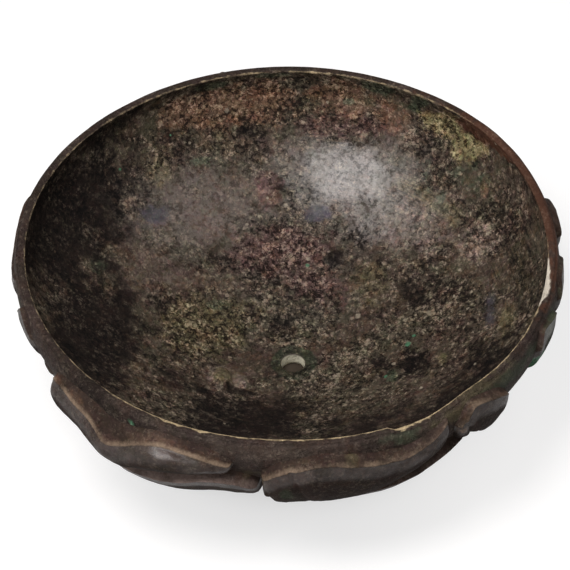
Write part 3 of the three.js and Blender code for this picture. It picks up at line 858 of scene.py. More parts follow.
def seam_height(azimuth):
    """Upper edge of the lower bodies. Past their ends it falls away steadily."""
    seam = 0.0
    for _, shape, start, span, _, _, _ in LOWER_BODIES:
        at = float(turn_between(azimuth, start + span / 2)) + span / 2
        local = min(max(at, 0), span)
        past = max(abs(at - local) - SEAM_HOLD, 0)
        edge = along(shape, 1, local * length_of(shape) / span) * HEIGHT + SEAM_GAP
        seam = max(seam, edge - past * SEAM_FALL)
    return seam


def section(shape, at, proud, seam):
    """Height and out of the points down the front of one section, and the height of its crest."""
    row = [along(shape, column, at) for column in range(1, 7)]
    top, crest, crest_out, shoulder, shoulder_out, low = row
    low = max(low * HEIGHT, seam)
    shoulder = max(shoulder * HEIGHT, low + LEAST_STEP)
    crest = max(crest * HEIGHT, shoulder + LEAST_STEP)
    top = max(top * HEIGHT, crest + LEAST_STEP)
    crest_out, shoulder_out = crest_out * proud, shoulder_out * proud
    low_out = shoulder_out * 0.45 if low <= seam else 0.0
    points = []
    for t in 1 - (1 - np.linspace(0, 1, 13)[:-1]) ** 1.7:
        points.append((top + (crest - top) * t, SUNK + (crest_out - SUNK) * t**1.9))
    for t in np.linspace(0, 1, 14)[:-1] ** 1.6:
        swell = 0.6 * math.sin(t * math.pi / 2) + 0.4 * t
        points.append((crest + (shoulder - crest) * t, crest_out + (shoulder_out - crest_out) * swell))
    for angle in np.linspace(0, math.pi / 2, 13):
        height = shoulder + (low - shoulder) * math.sin(angle)
        points.append((height, low_out + (shoulder_out - low_out) * math.cos(angle)))
    points.append((low - 0.2, SUNK * 2))
    return points, crest


def body_grid(body, sizes, upper):
    """Azimuth, height, out and crest of each point of a body's front, and how many points a section has."""
    _, shape, start, span, kind, share, _ = body
    proud = getattr(sizes, kind) / MM * share
    count = max(8, math.ceil(span / BODY_STEP))
    grid, section_size = [], 0
    for i in range(count + 1):
        part = i / count
        part = (part + (1 - math.cos(part * math.pi)) / 2) / 2
        azimuth = start + span * part
        seam = seam_height(azimuth) if upper else 0.0
        points, crest = section(shape, length_of(shape) * part, proud, seam)
        fade = float(ease(min(part, 1 - part) * span, 0, END_FADE))
        grid += [(azimuth, height, out * fade - END_SUNK * (1 - fade), crest) for height, out in points]
        section_size = len(points)
    return np.array(grid).T, section_size


def body_faces(count, size):
    """Faces of a closed body whose front and back have that many stretches between sections of that size."""
    half = (count + 1) * size
    faces = []
    for i in range(count):
        for j in range(size - 1):
            a = i * size + j
            faces.append((a, a + 1, a + size + 1, a + size))
            faces.append((half + a, half + a + size, half + a + size + 1, half + a + 1))
        for a, b in ((i * size, (i + 1) * size), ((i + 2) * size - 1, (i + 1) * size - 1)):
            faces.append((a, b, half + b, half + a))
    for j in range(size - 1):
        faces.append((j, half + j, half + j + 1, j + 1))
        last = count * size + j
        faces.append((last, last + 1, half + last + 1, half + last))
    return faces


def body_points(body, sizes, upper):
    """Vertices in mm, faces and wear of one relief body."""
    name, rub = body[0], body[-1]
    (azimuths, heights, outs, crests), section_size = body_grid(body, sizes, upper)
    rest = on_wall(azimuths, heights, outs)
    over_crest = heights - crests
    bead = BEAD_HEIGHT * np.exp(-((over_crest / BEAD_WIDTH) ** 2)) * ease(outs, 0.3, 1.2)
    outs = outs + rough(rest, 7, 3) * 0.16 + rough(rest, 1.8, 2) * 0.05 + bead
    outs = outs - cut_depth(name, azimuths, heights)
    front = on_wall(azimuths, heights, outs)
    back = on_wall(azimuths, heights, np.minimum(outs, 0) - BACK_DEPTH)
    found = outer_stains(azimuths, heights, rest, "relief")
    above = np.exp(-((np.maximum(over_crest, 0) / 2.6) ** 2)) * ease(over_crest, -0.5, 0.3)
    tan = (UPPER_TAN if upper else LOWER_TAN) * rub * above * ease(outs, 0.2, 1.0)
    found["tan"] = np.maximum(found["tan"], tan)
    found["worn"] = np.clip(rub * (0.85 + 0.7 * rough(rest, 5, 3)), 0, 1) * ease(outs, 0.2, 1.0)
    found["over"] = over_crest
    layers = {label: np.concatenate([values, np.zeros(len(back))]) for label, values in found.items()}
    faces = body_faces(len(front) // section_size - 1, section_size)
    return np.concatenate([front, back]), faces, layers


def cut_depth(name, azimuths, heights):
    """How deep the cuts of a body lie under its surface."""
    depth = np.zeros(len(azimuths))
    radius = outer_radius(heights)
    x, y = np.radians(azimuths) * radius, heights
    for body, line, width, deep in CUTS:
        if body != name:
            continue
        nearest = np.full(len(azimuths), 99.0)
        for (a0, h0), (a1, h1) in zip(line, line[1:]):
            start = np.stack([np.radians(a0) * radius, np.full_like(radius, h0 * HEIGHT)], -1)
            end = np.stack([np.radians(a1) * radius, np.full_like(radius, h1 * HEIGHT)], -1)
            here = np.stack([x, y], -1)
            step = end - start
            t = np.clip(((here - start) * step).sum(-1) / (step**2).sum(-1), 0, 1)
            nearest = np.minimum(nearest, np.linalg.norm(here - start - step * t[:, None], axis=-1))
        depth = np.maximum(depth, deep * np.exp(-((nearest / width) ** 2)))
    return depth


# Node trees

SOCKETS = {"value": "NodeSocketFloat", "colour": "NodeSocketColor", "vector": "NodeSocketVector"}


class Tree:
    """Short calls for the nodes that the bronze needs."""

    def __init__(self, tree):
        self.tree = tree

    def put(self, socket, value):
        if isinstance(value, bpy.types.NodeSocket):
            self.tree.links.new(value, socket)
        elif value is not None:
            socket.default_value = value

    def node(self, kind, **settings):
        made = self.tree.nodes.new(kind)
        for name, value in settings.items():
            setattr(made, name, value)
        return made

    def fill(self, made, **sockets):
        """The node with its inputs set or linked by name, where _ stands for a space."""
        for name, value in sockets.items():
            self.put(made.inputs[name.replace("_", " ")], value)
        return made

    def math(self, operation, first, second=None, clamp=False):
        made = self.node("ShaderNodeMath", operation=operation, use_clamp=clamp)
        self.put(made.inputs[0], first)
        self.put(made.inputs[1], second)
        return made.outputs[0]

    def times(self, first, second, clamp=False):
        return self.math("MULTIPLY", first, second, clamp)

    def plus(self, first, second):
        return self.math("ADD", first, second)

    def minus(self, first, second):
        return self.math("SUBTRACT", first, second)

    def larger(self, first, second):
        return self.math("MAXIMUM", first, second)

    def vector(self, operation, first, second=None, scale=None):
        made = self.node("ShaderNodeVectorMath", operation=operation)
        self.put(made.inputs[0], first)
        self.put(made.inputs[1], second)
        if scale is not None:
            self.put(made.inputs["Scale"], scale)
        return made.outputs["Value" if operation in ("DISTANCE", "LENGTH") else "Vector"]

    def mix(self, factor, first, second, blend="MIX"):
        made = self.node("ShaderNodeMix", data_type="RGBA", blend_type=blend)
        for number, value in ((0, factor), (6, first), (7, second)):
            self.put(made.inputs[number], value)
        return made.outputs[2]

    def shaded(self, colour, shade):
        """The colour times three shares of red, green and blue."""
        return self.mix(1.0, colour, (*shade, 1), "MULTIPLY")

    def step(self, value, low, high, start=0.0, end=1.0):
        made = self.node("ShaderNodeMapRange", interpolation_type="SMOOTHSTEP")
        self.fill(made, Value=value, From_Min=low, From_Max=high, To_Min=start, To_Max=end)
        return made.outputs["Result"]

    def lessened(self, value, mask, least):
        """The value, brought down to that share of it where the mask is full."""
        return self.times(value, self.step(mask, 0.0, 1.0, 1.0, least))

    def noise(self, place, scale, detail, roughness):
        made = self.node("ShaderNodeTexNoise")
        self.fill(made, Vector=place, Scale=scale, Detail=detail, Roughness=roughness)
        return made.outputs["Fac"]

    def bent(self, place, scale, reach):
        """The place, moved by up to that reach by a noise."""
        made = self.fill(self.node("ShaderNodeTexNoise"), Vector=place, Scale=scale, Detail=2)
        return self.vector("ADD", place, self.vector("SCALE", made.outputs["Color"], scale=reach))

    def layer(self, name):
        return self.node("ShaderNodeAttribute", attribute_name=name).outputs["Fac"]

    def group(self, name, **values):
        """A shared group, made on first use, with its inputs set."""
        if name not in bpy.data.node_groups:
            GROUPS[name]()
        return self.fill(self.node("ShaderNodeGroup", node_tree=bpy.data.node_groups[name]), **values)


def new_group(name, inputs, outputs):
    """The tree, inputs and outputs of a node group. An input is a kind of socket or a value's default."""
    group = bpy.data.node_groups.new(name, "ShaderNodeTree")
    for label, given in inputs.items():
        kind = given if given in SOCKETS else "value"
        socket = group.interface.new_socket(name=label, in_out="INPUT", socket_type=SOCKETS[kind])
        if kind == "value":
            socket.default_value = given
    for label, kind in outputs.items():
        group.interface.new_socket(name=label, in_out="OUTPUT", socket_type=SOCKETS[kind])
    tree = Tree(group)
    return tree, tree.node("NodeGroupInput").outputs, tree.node("NodeGroupOutput").inputs


# Grains of the crust: how much finer than the size that is given, and their share of the whole

GRAINS = ((0.55, 0.6), (1.2, 0.75), (2.6, 0.4))


def grain_group():
    """Flakes, lumps and grains of about that size in mm: pale spots with painted highlights on the flakes'
    rims, dark gaps and their height.
    """
    tree, given, out = new_group(
        "Bronze grain",
        {"Place": "vector", "Size": 0.9},
        {"Light": "value", "Dark": "value", "Height": "value"},
    )
    scale = tree.math("DIVIDE", 1.0, given["Size"])
    place = tree.bent(given["Place"], tree.times(scale, 1.3), tree.times(given["Size"], 1.5))
    clumps = tree.noise(given["Place"], tree.times(scale, 0.13), 6, 0.9)
    total = tree.times(tree.minus(clumps, 0.48), 6.0)
    for finer, share in GRAINS:
        cell = tree.fill(tree.node("ShaderNodeTexVoronoi"), Vector=place, Scale=tree.times(scale, finer))
        split = tree.node("ShaderNodeSeparateColor")
        tree.put(split.inputs[0], cell.outputs["Color"])
        dome = tree.step(cell.outputs["Distance"], 0.9, 0.2, 0.6, 1.1)
        grain = tree.minus(tree.times(dome, split.outputs[0]), 0.45)
        total = tree.plus(total, tree.times(grain, share))
    flakes = tree.noise(place, tree.times(scale, 0.3), 5, 0.62)
    flake = tree.step(flakes, 0.46, 0.53)
    lumps = tree.step(tree.noise(place, scale, 4, 0.6), 0.38, 0.62)
    border = tree.times(flake, tree.step(flakes, 0.6, 0.52))
    edges = tree.node("ShaderNodeTexVoronoi", feature="DISTANCE_TO_EDGE")
    tree.fill(edges, Vector=place, Scale=tree.times(scale, 0.8))
    gaps = tree.times(tree.step(edges.outputs["Distance"], 0.15, 0.03), tree.step(clumps, 0.44, 0.54))
    total = tree.minus(total, tree.times(gaps, 0.7))
    # Paler rims on the flakes: painted highlight where their edges would catch the light.
    total = tree.plus(total, tree.times(border, 0.22))
    total = tree.plus(total, tree.times(tree.minus(lumps, 0.48), 0.8))
    height = tree.plus(tree.times(flake, 0.5), tree.times(lumps, 0.5))
    tree.put(out["Light"], tree.step(total, 0.15, 1.2))
    tree.put(out["Dark"], tree.step(total, 0.0, -0.75))
    tree.put(out["Height"], tree.plus(height, tree.times(total, 0.35)))


def streak_group():
    """Streaks of about that width in mm that run level round the bowl."""
    tree, given, out = new_group(
        "Level streaks", {"Place": "vector", "Width": 0.8}, {"Light": "value", "Dark": "value"}
    )
    streaks_round = 7.0
    split = tree.node("ShaderNodeSeparateXYZ")
    tree.put(split.inputs[0], given["Place"])
    x = tree.minus(split.outputs["X"], hole_middle()[0])
    y = tree.minus(split.outputs["Y"], hole_middle()[1])
    radius = tree.larger(tree.math("SQRT", tree.plus(tree.times(x, x), tree.times(y, y))), 1.0)
    joined = tree.node("ShaderNodeCombineXYZ")
    tree.put(joined.inputs["X"], tree.times(tree.math("DIVIDE", x, radius), streaks_round))
    tree.put(joined.inputs["Y"], tree.times(tree.math("DIVIDE", y, radius), streaks_round))
    climb = tree.plus(radius, split.outputs["Z"])
    tree.put(joined.inputs["Z"], tree.math("DIVIDE", climb, given["Width"]))
    amount = tree.noise(joined.outputs[0], 1.0, 2, 0.55)
    tree.put(out["Light"], tree.step(amount, 0.53, 0.63))
    tree.put(out["Dark"], tree.step(amount, 0.47, 0.37))


def grained_group():
    """A colour with paler grains and darker gaps."""
    tree, given, out = new_group(
        "Grained colour",
        {"Colour": "colour", "Grain": "colour", "Light": 0.0, "Dark": 0.0, "Contrast": 0.5},
        {"Colour": "colour"},
    )
    deep = tree.shaded(given["Colour"], (0.14, 0.12, 0.11))
    pale = tree.mix(0.4, tree.shaded(given["Colour"], (2.6, 2.6, 2.6)), given["Grain"])
    dim = tree.times(given["Dark"], given["Contrast"], clamp=True)
    colour = tree.mix(dim, given["Colour"], deep)
    lit = tree.times(given["Light"], given["Contrast"], clamp=True)
    tree.put(out["Colour"], tree.mix(lit, colour, pale))


# Shares of red, green and blue that the patina drifts to: red brown, olive, plum and pale

DRIFTS = ((1.2, 0.96, 0.82), (0.84, 0.98, 0.8), (1.0, 0.84, 0.98), (1.4, 1.4, 1.44))


def tint_group():
    """A colour that drifts between several shades from place to place."""
    tree, given, out = new_group(
        "Drifting tint",
        {"Colour": "colour", "Place": "vector", "Scale": 0.3, "Strength": 0.5},
        {"Colour": "colour"},
    )
    colour = given["Colour"]
    for number, shade in enumerate(DRIFTS):
        moved = tree.vector("ADD", given["Place"], (37.0 * number, 11.0, -23.0 * number))
        amount = tree.step(tree.noise(moved, given["Scale"], 6, 0.85), 0.49, 0.6)
        amount = tree.times(amount, given["Strength"], clamp=True)
        colour = tree.mix(amount, colour, tree.shaded(colour, shade))
    tree.put(out["Colour"], colour)


def layer_group():
    """One layer of patina over another, with a border as ragged as the break-up that is given."""
    tree, given, out = new_group(
        "Patina layer",
        {
            "Under": "colour", "Over": "colour", "Amount": 0.0, "Breakup": 0.5, "Ragged": 0.7,
            "Softness": 0.18, "Most": 1.0,
        },
        {"Colour": "colour", "Mask": "value"},
    )
    border = 0.45
    broken = tree.times(tree.minus(given["Breakup"], 0.5), given["Ragged"])
    broken = tree.times(broken, tree.step(given["Amount"], 0.0, 0.25))
    amount = tree.plus(given["Amount"], broken)
    low, high = tree.minus(border, given["Softness"]), tree.plus(border, given["Softness"])
    mask = tree.times(tree.step(amount, low, high), given["Most"])
    tree.put(out["Colour"], tree.mix(mask, given["Under"], given["Over"]))
    tree.put(out["Mask"], mask)


def rubbed_group():
    """Bare metal where hands have rubbed the patina through."""
    tree, given, out = new_group(
        "Rubbed metal",
        {
            "Patina": "colour", "Metal": "colour", "Worn": 0.0, "Place": "vector", "Patina Roughness": 0.5,
            "Metal Roughness": 0.35,
        },
        {"Colour": "colour", "Roughness": "value", "Metallic": "value"},
    )
    broken = tree.minus(tree.noise(given["Place"], 1.1, 5, 0.75), 0.5)
    amount = tree.plus(given["Worn"], tree.times(broken, 1.1))
    worn = tree.times(tree.step(amount, 0.1, 1.0), tree.step(given["Worn"], 0.02, 0.3))
    roughness = tree.node("ShaderNodeMix", data_type="FLOAT")
    for number, value in ((0, worn), (2, given["Patina Roughness"]), (3, given["Metal Roughness"])):
        tree.put(roughness.inputs[number], value)
    tree.put(out["Colour"], tree.mix(worn, given["Patina"], given["Metal"]))
    tree.put(out["Metallic"], tree.times(worn, 0.25))
    tree.put(out["Roughness"], roughness.outputs[0])


GROUPS = {
    "Bronze grain": grain_group,
    "Level streaks": streak_group,
    "Grained colour": grained_group,
    "Drifting tint": tint_group,
    "Patina layer": layer_group,
    "Rubbed metal": rubbed_group,
}


# Materials

# Layers of the inside, from the lowest up: name, its colour, how ragged, how soft, most cover. The shade and
# sand layers also carry painted shade and painted light.

INSIDE_LAYERS = (
    ("smooth", "skin", 1.0, 0.4, 0.65),
    ("sand", "sand", 1.2, 0.3, 0.95),
    ("plum", "plum", 1.2, 0.35, 0.9),
    ("slate", "slate", 0.8, 0.35, 0.9),
    ("olive", "olive", 1.3, 0.35, 0.8),
    ("tan", "tan", 1.3, 0.35, 0.95),
    ("green", "green", 1.2, 0.25, 0.85),
    ("lime", "lime", 1.9, 0.35, 0.7),
    ("shade", "shade", 1.1, 0.38, 0.95),
    ("rust", "rust", 0.8, 0.2, 1.0),
)

# Layers of the outer wall and of the relief, from the lowest up: name, most cover

WALL_LAYERS = (
    ("shade", 0.6), ("sand", 0.5), ("rust", 1.0), ("tan", 0.8), ("olive", 0.55), ("green", 0.7),
    ("vivid", 0.8),
)
RELIEF_LAYERS = (("rust", 0.8), ("tan", 0.7), ("olive", 0.7), ("green", 0.7), ("vivid", 0.9))


def new_material(name):
    """A material with its tree, its shader and the place on the bowl in mm."""
    material = bpy.data.materials.new(name)
    material.use_nodes = True
    tree = Tree(material.node_tree)
    where = tree.node("ShaderNodeTexCoord").outputs["Object"]
    shader = material.node_tree.nodes["Principled BSDF"]
    return material, tree, shader, tree.vector("SCALE", where, scale=1 / MM)


def bump(tree, shader, height, distance):
    made = tree.fill(tree.node("ShaderNodeBump"), Strength=1.0, Distance=distance, Height=height)
    tree.put(shader.inputs["Normal"], made.outputs["Normal"])


def laid(tree, colours, under, breakup, name, colour, ragged, soft, most):
    """A layer of patina over the colour under it, by its attribute: the new colour and the layer's mask."""
    made = tree.group(
        "Patina layer", Under=under, Over=tuple(getattr(colours, colour)), Amount=tree.layer(name),
        Breakup=breakup, Ragged=ragged, Softness=soft, Most=most,
    )
    return made.outputs["Colour"], made.outputs["Mask"]


def drifting(tree, colour, place, scale, strength):
    made = tree.group("Drifting tint", Colour=colour, Place=place, Scale=scale, Strength=strength)
    return made.outputs["Colour"]


def specks(tree, place, table, rows):
    """Mask of small round growths on the inside wall, each with a ragged outline."""
    ways, radii, heights = table
    bend = 0.9
    place = tree.bent(place, 1.1, bend)
    mask = None
    for azimuth, way, size in rows:
        middle = settle(np.interp(way, ways, radii), azimuth, np.interp(way, ways, heights)) + bend / 2
        near = tree.step(tree.vector("DISTANCE", place, middle), size, size * 0.5)
        mask = near if mask is None else tree.larger(mask, near)
    return mask


def inside_colour(tree, colours, sizes, place, grains, breakup):
    """Colour of the crusted inside, the masks of its layers and the contrast of its grains."""
    light, dark = grains.outputs["Light"], grains.outputs["Dark"]
    broad = tree.step(tree.noise(place, 0.06, 5, 0.8), 0.4, 0.6)
    colour = tree.mix(broad, tuple(colours.ground), tuple(colours.ground_olive))
    masks = {}
    for name, *row in INSIDE_LAYERS:
        colour, masks[name] = laid(tree, colours, colour, breakup, name, *row)
    colour = drifting(tree, colour, place, 0.2, 0.75)
    streaks = tree.group("Level streaks", Place=place, Width=0.8)
    lined = tree.layer("streaks")
    for side, shade in (("Light", (1.55, 1.5, 1.45)), ("Dark", (0.45, 0.45, 0.45))):
        amount = tree.times(streaks.outputs[side], lined, clamp=True)
        colour = tree.mix(amount, colour, tree.shaded(colour, shade))
    contrast = tree.plus(0.65, tree.times(tree.layer("coarse"), 0.85))
    contrast = tree.lessened(contrast, tree.larger(masks["smooth"], masks["rust"]), 0.6)
    contrast = tree.lessened(contrast, masks["slate"], 0.3)
    contrast = tree.times(contrast, tree.step(tree.noise(place, 0.085, 4, 0.6), 0.36, 0.62, 0.55, 1.35))
    contrast = tree.lessened(contrast, tree.layer("gloss"), 0.6)
    # Fewer pale grains under the shade layer, which is dark patina and in places painted shade.
    made = tree.group(
        "Grained colour", Colour=colour, Grain=tuple(colours.pale), Dark=dark, Contrast=contrast,
        Light=tree.lessened(light, masks["shade"], 0.3),
    )
    colour = drifting(tree, made.outputs["Colour"], place, 0.6, 0.5)
    in_pits = tree.times(tree.layer("pits"), 0.7, clamp=True)
    colour = tree.mix(in_pits, colour, tuple(colours.shade))
    table = wall_table(sizes)
    for rows, growth in ((GREEN_SPECKS, colours.vivid), (CREAM_SPECKS, colours.pale)):
        colour = tree.mix(tree.times(specks(tree, place, table, rows), 0.6), colour, tuple(growth))
    colour, _ = laid(tree, colours, colour, breakup, "vivid", "vivid", 1.0, 0.3, 0.7)
    return colour, masks, contrast


def wall_colour(tree, colours, place, grains, breakup):
    """Colour of the smooth outer wall."""
    colour = tree.mix(tree.step(breakup, 0.2, 0.8), tuple(colours.outside), tuple(colours.relief))
    colour = drifting(tree, colour, place, 0.1, 0.6)
    for name, most in WALL_LAYERS:
        colour, _ = laid(tree, colours, colour, breakup, name, name, 1.0, 0.4, most)
    made = tree.group(
        "Grained colour", Colour=colour, Grain=tuple(colours.pale), Light=grains.outputs["Light"],
        Dark=grains.outputs["Dark"], Contrast=0.25,
    )
    return made.outputs["Colour"]


def shell_material(colours, sizes):
    """Crusted and speckled inside, smooth brown outside, golden along the lip."""
    material, tree, shader, place = new_material("shell bronze")
    grains = tree.group("Bronze grain", Place=place, Size=1.25)
    dark = grains.outputs["Dark"]
    breakup = tree.plus(0.5, tree.times(tree.minus(tree.noise(place, 0.13, 8, 0.9), 0.5), 2.5))
    colour, masks, contrast = inside_colour(tree, colours, sizes, place, grains, breakup)
    outside = tree.layer("outside")
    colour = tree.mix(outside, colour, wall_colour(tree, colours, place, grains, breakup))
    # Pale wall of the hole, partly painted light.
    colour = tree.mix(tree.layer("hole"), colour, tuple(colours.hole))
    gloss = tree.layer("gloss")
    matt = tree.larger(tree.larger(masks["shade"], masks["slate"]), masks["plum"])
    roughness = tree.minus(0.66, tree.times(tree.lessened(gloss, dark, 0.4), 0.24))
    roughness = tree.plus(roughness, tree.times(matt, 0.12))
    roughness = tree.plus(roughness, tree.times(tree.minus(breakup, 0.5), 0.2))
    finish = tree.group(
        "Rubbed metal", Patina=colour, Metal=tuple(colours.gold), Worn=tree.layer("gold"), Place=place,
        Patina_Roughness=roughness, Metal_Roughness=0.38,
    )
    wax = tree.plus(0.12, tree.times(gloss, 0.88))
    wax = tree.lessened(wax, dark, tree.step(gloss, 0.0, 1.0, 0.1, 0.55))
    wax = tree.lessened(wax, outside, 0.5)
    wax = tree.lessened(wax, matt, 0.3)
    tree.fill(
        shader,
        Base_Color=tree.mix(tree.layer("sliver"), finish.outputs["Colour"], tuple(colours.bare)),
        Roughness=finish.outputs["Roughness"],
        Metallic=finish.outputs["Metallic"],
        Specular_IOR_Level=0.2,
        Coat_Weight=tree.times(wax, tree.step(breakup, 0.1, 0.9, 0.6, 1.2), clamp=True),
        Coat_Roughness=0.4,
        Coat_IOR=1.72,
    )
    rise = tree.step(contrast, 0.1, 1.1, 0.15, 1.0)
    bump(tree, shader, tree.times(grains.outputs["Height"], rise), 0.4 * MM)
    return material


def relief_material(name, colours, patina, metal, size):
    """Smooth purple brown bronze with grains of that size, its ridges rubbed to that metal."""
    material, tree, shader, place = new_material(name)
    grains = tree.group("Bronze grain", Place=place, Size=size)
    breakup = tree.noise(place, 0.22, 9, 0.72)
    colour = tree.mix(tree.step(breakup, 0.35, 0.65), patina, tuple(colours.outside))
    for layer, most in RELIEF_LAYERS:
        colour, _ = laid(tree, colours, colour, breakup, layer, layer, 1.4, 0.4, most)
    colour = drifting(tree, colour, place, 0.18, 0.6)
    over_crest = tree.layer("over")
    # Darker towards the lower part of each body below its crest: dark patina there and painted shade on the
    # faces turned down.
    low = tree.step(over_crest, -1.0, -4.0)
    colour = tree.mix(tree.times(low, 0.55), colour, tree.shaded(colour, (0.4, 0.38, 0.38)))
    made = tree.group(
        "Grained colour", Colour=colour, Grain=tuple(colours.pale), Light=grains.outputs["Light"],
        Dark=grains.outputs["Dark"], Contrast=0.22,
    )
    ridge = tree.times(tree.step(over_crest, 1.0, -0.05, 0.0, 0.85), tree.step(over_crest, -0.5, 0.0))
    roughness = tree.plus(tree.step(over_crest, -0.3, 0.5, 0.42, 0.7), tree.times(low, 0.2))
    finish = tree.group(
        "Rubbed metal", Patina=made.outputs["Colour"], Metal=metal, Place=place, Metal_Roughness=0.4,
        Worn=tree.times(tree.layer("worn"), ridge), Patina_Roughness=roughness,
    )
    sheen = tree.times(tree.step(over_crest, 0.0, -0.5), tree.step(over_crest, -4.2, -2.4))
    tree.fill(
        shader,
        Base_Color=finish.outputs["Colour"],
        Roughness=finish.outputs["Roughness"],
        Metallic=finish.outputs["Metallic"],
        Specular_IOR_Level=0.1,
        Coat_Weight=tree.times(sheen, tree.step(breakup, 0.3, 0.6, 0.25, 0.9)),
        Coat_Roughness=0.26,
        Coat_IOR=1.6,
    )
    bump(tree, shader, grains.outputs["Height"], 0.09 * MM)
    return material


# Making pieces


def make_piece(name, points, faces, layers, material, node):
    """A mesh from points in mm, with its layers as attributes, in the place of a CAD node."""
    mesh = bpy.data.meshes.new(name)
    mesh.from_pydata((points * MM).tolist(), [], faces)
    mesh.polygons.foreach_set("use_smooth", [True] * len(mesh.polygons))
    for label, values in layers.items():
        attribute = mesh.attributes.new(label, "FLOAT", "POINT")
        attribute.data.foreach_set("value", np.asarray(values, np.float32))
    mesh.materials.append(material)
    mesh.update()
    facing_out(mesh)
    piece = bpy.data.objects.new(name, mesh)
    bpy.context.scene.collection.objects.link(piece)
    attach(piece, "root")
    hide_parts(node)
    return piece


def facing_out(mesh):
    made = bmesh.new()
    made.from_mesh(mesh)
    bmesh.ops.recalc_face_normals(made, faces=made.faces)
    made.to_mesh(mesh)
    made.free()


def make_row(bowl, row, bodies, patina, metal, grain):
    """The relief bodies of one row, in one bronze with grains of that size in mm."""
    name = row + " relief bronze"
    material = bpy.data.materials.get(name)
    if material is None:
        material = relief_material(name, bowl.colours, tuple(patina), tuple(metal), grain)
    for body in bodies:
        points, faces, layers = body_points(body, bowl.sizes, row == "upper")
        make_piece("cast_" + body[0], points, faces, layers, material, body[0])


class BRONZE_BOWL_OT_shell(bpy.types.Operator):
    """Cast the bowl with its crusted inside, its lip and the hole in its floor"""

    bl_idname = "bronze_bowl.shell"
    bl_label = "Bowl"

    def execute(self, context):
        bowl = context.scene.bronze_bowl
        points, faces, layers = shell_points(bowl.sizes)
        material = bpy.data.materials.get("shell bronze") or shell_material(bowl.colours, bowl.sizes)
        make_piece("cast_bowl", points, faces, layers, material, "bowl_shell")
        return {"FINISHED"}


class BRONZE_BOWL_OT_upper_relief(bpy.types.Operator):
    """Lay the upper row of relief bodies under the rim"""

    bl_idname = "bronze_bowl.upper_relief"
    bl_label = "Upper relief"

    def execute(self, context):
        bowl = context.scene.bronze_bowl
        make_row(bowl, "upper", UPPER_BODIES, bowl.colours.relief, bowl.colours.copper, 0.9)
        return {"FINISHED"}


class BRONZE_BOWL_OT_lower_relief(bpy.types.Operator):
    """Lay the lower row of relief bodies below the first"""

    bl_idname = "bronze_bowl.lower_relief"
    bl_label = "Lower relief"

    def execute(self, context):
        bowl = context.scene.bronze_bowl
        make_row(bowl, "lower", LOWER_BODIES, bowl.colours.outside, bowl.colours.dull, 1.1)
        return {"FINISHED"}


# Studio

# Lamps, in metres from the bowl: name, direction, distance, width, height, setting of its power

LAMPS = (
    ("key lamp", (-0.29, -0.28, 0.91), 0.75, 0.34, 0.34, "key"),
    ("side lamp", (0.5, -0.04, 0.86), 0.8, 0.5, 0.5, "side"),
    ("fill lamp", (-0.62, -0.72, 0.3), 0.9, 0.62, 0.16, "fill"),
)
LAMP_COLOUR = (1.0, 0.955, 0.94)

# Section of the floor in metres: radius, height

FLOOR_SECTION = (
    (0.6, 0), (1.2, 0), (1.8, 0), (2.1, 0.03), (2.3, 0.12), (2.42, 0.27), (2.5, 0.55), (2.5, 1.0)
)
FLOOR_SIDES = 96

# Share of the floor's light that the bronze mirrors

MIRRORED_FLOOR = 0.22

# In mm: the width of the camera's sensor, and how far from the middle of the rim the camera aims

SENSOR_WIDTH = 36
AIM_SIDEWAYS = -0.84
AIM_DOWN = 10.76


def soft_lamp(name, direction, distance, width, height, power):
    """A round or oval soft lamp that looks at the bowl."""
    lamp = bpy.data.lights.new(name, "AREA")
    lamp.shape = "ELLIPSE"
    lamp.size = width
    lamp.size_y = height
    lamp.energy = power
    lamp.color = LAMP_COLOUR
    made = bpy.data.objects.new(name, lamp)
    towards = Vector(direction).normalized()
    made.location = Vector((0, 0, HEIGHT * MM / 2)) + towards * distance
    made.rotation_euler = towards.to_track_quat("Z", "Y").to_euler()
    bpy.context.scene.collection.objects.link(made)


def stage_floor():
    """A pale floor that curves up far behind the bowl, on every side."""
    points, faces = [(0, 0, 0)], []
    for radius, height in FLOOR_SECTION:
        for i in range(FLOOR_SIDES):
            angle = math.tau * i / FLOOR_SIDES
            points.append((radius * math.cos(angle), radius * math.sin(angle), height))
    for i in range(FLOOR_SIDES):
        after = (i + 1) % FLOOR_SIDES
        faces.append((0, 1 + i, 1 + after))
        for ring in range(len(FLOOR_SECTION) - 1):
            a, b = 1 + ring * FLOOR_SIDES + i, 1 + ring * FLOOR_SIDES + after
            faces.append((a, a + FLOOR_SIDES, b + FLOOR_SIDES, b))
    mesh = bpy.data.meshes.new("studio floor")
    mesh.from_pydata(points, [], faces)
    mesh.polygons.foreach_set("use_smooth", [True] * len(mesh.polygons))
    mesh.update()
    return bpy.data.objects.new("studio floor", mesh)


def floor_material():
    """Pale floor, seen as white, that keeps the bowl's shadow, with painted shade in dark brown under the
    bowl that shows through its hole.
    """
    material, tree, shader, _ = new_material("pale floor")
    light_path = tree.node("ShaderNodeLightPath").outputs
    mirrored = tree.times(light_path["Is Glossy Ray"], MIRRORED_FLOOR)
    seen = tree.larger(light_path["Is Camera Ray"], mirrored)
    seen = tree.larger(seen, light_path["Is Transmission Ray"])
    away = tree.vector("LENGTH", tree.node("ShaderNodeNewGeometry").outputs["Position"])
    glow = tree.plus(tree.step(away, 0.01, 0.06, 0.0, 0.72), tree.step(away, 0.3, 1.2, 0.0, 0.4))
    # Dark brown under the bowl: painted shade, seen through the bowl's hole.
    painted_shade_under_bowl, pale = (0.05, 0.04, 0.03, 1), (0.38, 0.38, 0.38, 1)
    tree.fill(
        shader,
        Base_Color=tree.mix(tree.step(away, 0.012, 0.04), painted_shade_under_bowl, pale),
        Roughness=0.9,
        Specular_IOR_Level=0.1,
        Emission_Color=(1, 1, 1, 1),
        Emission_Strength=tree.times(seen, glow),
    )
    return material


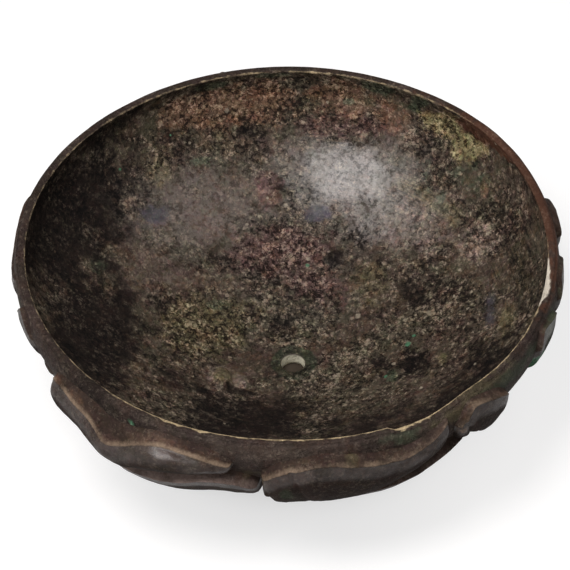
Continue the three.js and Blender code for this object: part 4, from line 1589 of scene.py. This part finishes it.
class BRONZE_BOWL_OT_stage(bpy.types.Operator):
    """Set the pale floor, the soft lamps and the camera"""

    bl_idname = "bronze_bowl.stage"
    bl_label = "Studio"

    def execute(self, context):
        studio = context.scene.bronze_bowl.studio
        floor = stage_floor()
        floor.data.materials.append(floor_material())
        context.scene.collection.objects.link(floor)
        for *lamp, setting in LAMPS:
            soft_lamp(*lamp, getattr(studio, setting))
        world = bpy.data.worlds.new("studio")
        context.scene.world = world
        world.use_nodes = True
        background = world.node_tree.nodes["Background"]
        background.inputs["Color"].default_value = (1, 1, 1, 1)
        background.inputs["Strength"].default_value = studio.ambient
        self.set_camera(context, studio)
        context.scene.view_settings.view_transform = "Standard"
        return {"FINISHED"}

    def set_camera(self, context, studio):
        """Camera at the photograph's angle, aimed so that the bowl lies as it does there."""
        lens = bpy.data.cameras.new("camera")
        lens.lens = studio.lens
        lens.sensor_width = SENSOR_WIDTH
        camera = bpy.data.objects.new("camera", lens)
        rim = Vector((RIM_AXIS[0], RIM_AXIS[1], HEIGHT)) * MM
        back = Vector((0, -math.cos(studio.elevation), math.sin(studio.elevation)))
        up = Vector((0, math.sin(studio.elevation), math.cos(studio.elevation)))
        camera.location = rim + back * studio.distance
        aimed_at = rim + Vector((AIM_SIDEWAYS * MM, 0, 0)) - up * AIM_DOWN * MM
        camera.rotation_euler = (camera.location - aimed_at).to_track_quat("Z", "Y").to_euler()
        context.scene.collection.objects.link(camera)
        context.scene.camera = camera


OPERATORS = (
    BRONZE_BOWL_OT_shell, BRONZE_BOWL_OT_upper_relief, BRONZE_BOWL_OT_lower_relief, BRONZE_BOWL_OT_stage
)


class BRONZE_BOWL_PT_panel(bpy.types.Panel):
    """Buttons and settings of the bowl."""

    bl_idname = "BRONZE_BOWL_PT_panel"
    bl_label = "Bronze bowl"
    bl_space_type = "VIEW_3D"
    bl_region_type = "UI"
    bl_category = "Bronze bowl"

    def draw(self, context):
        bowl = context.scene.bronze_bowl
        for operator in OPERATORS:
            self.layout.operator(operator.bl_idname)
        for group in (bowl.sizes, bowl.colours, bowl.studio):
            box = self.layout.box()
            for name in group.__annotations__:
                box.prop(group, name)


CLASSES = (BowlSizes, BowlColours, BowlStudio, BronzeBowl) + OPERATORS + (BRONZE_BOWL_PT_panel,)


def register():
    for made in CLASSES:
        bpy.utils.register_class(made)
    bpy.types.Scene.bronze_bowl = PointerProperty(type=BronzeBowl)


def unregister():
    del bpy.types.Scene.bronze_bowl
    for made in reversed(CLASSES):
        bpy.utils.unregister_class(made)


def main():
    register()
    bpy.ops.bronze_bowl.shell()
    bpy.ops.bronze_bowl.upper_relief()
    bpy.ops.bronze_bowl.lower_relief()
    bpy.ops.bronze_bowl.stage()


if __name__ == "__main__":
    main()
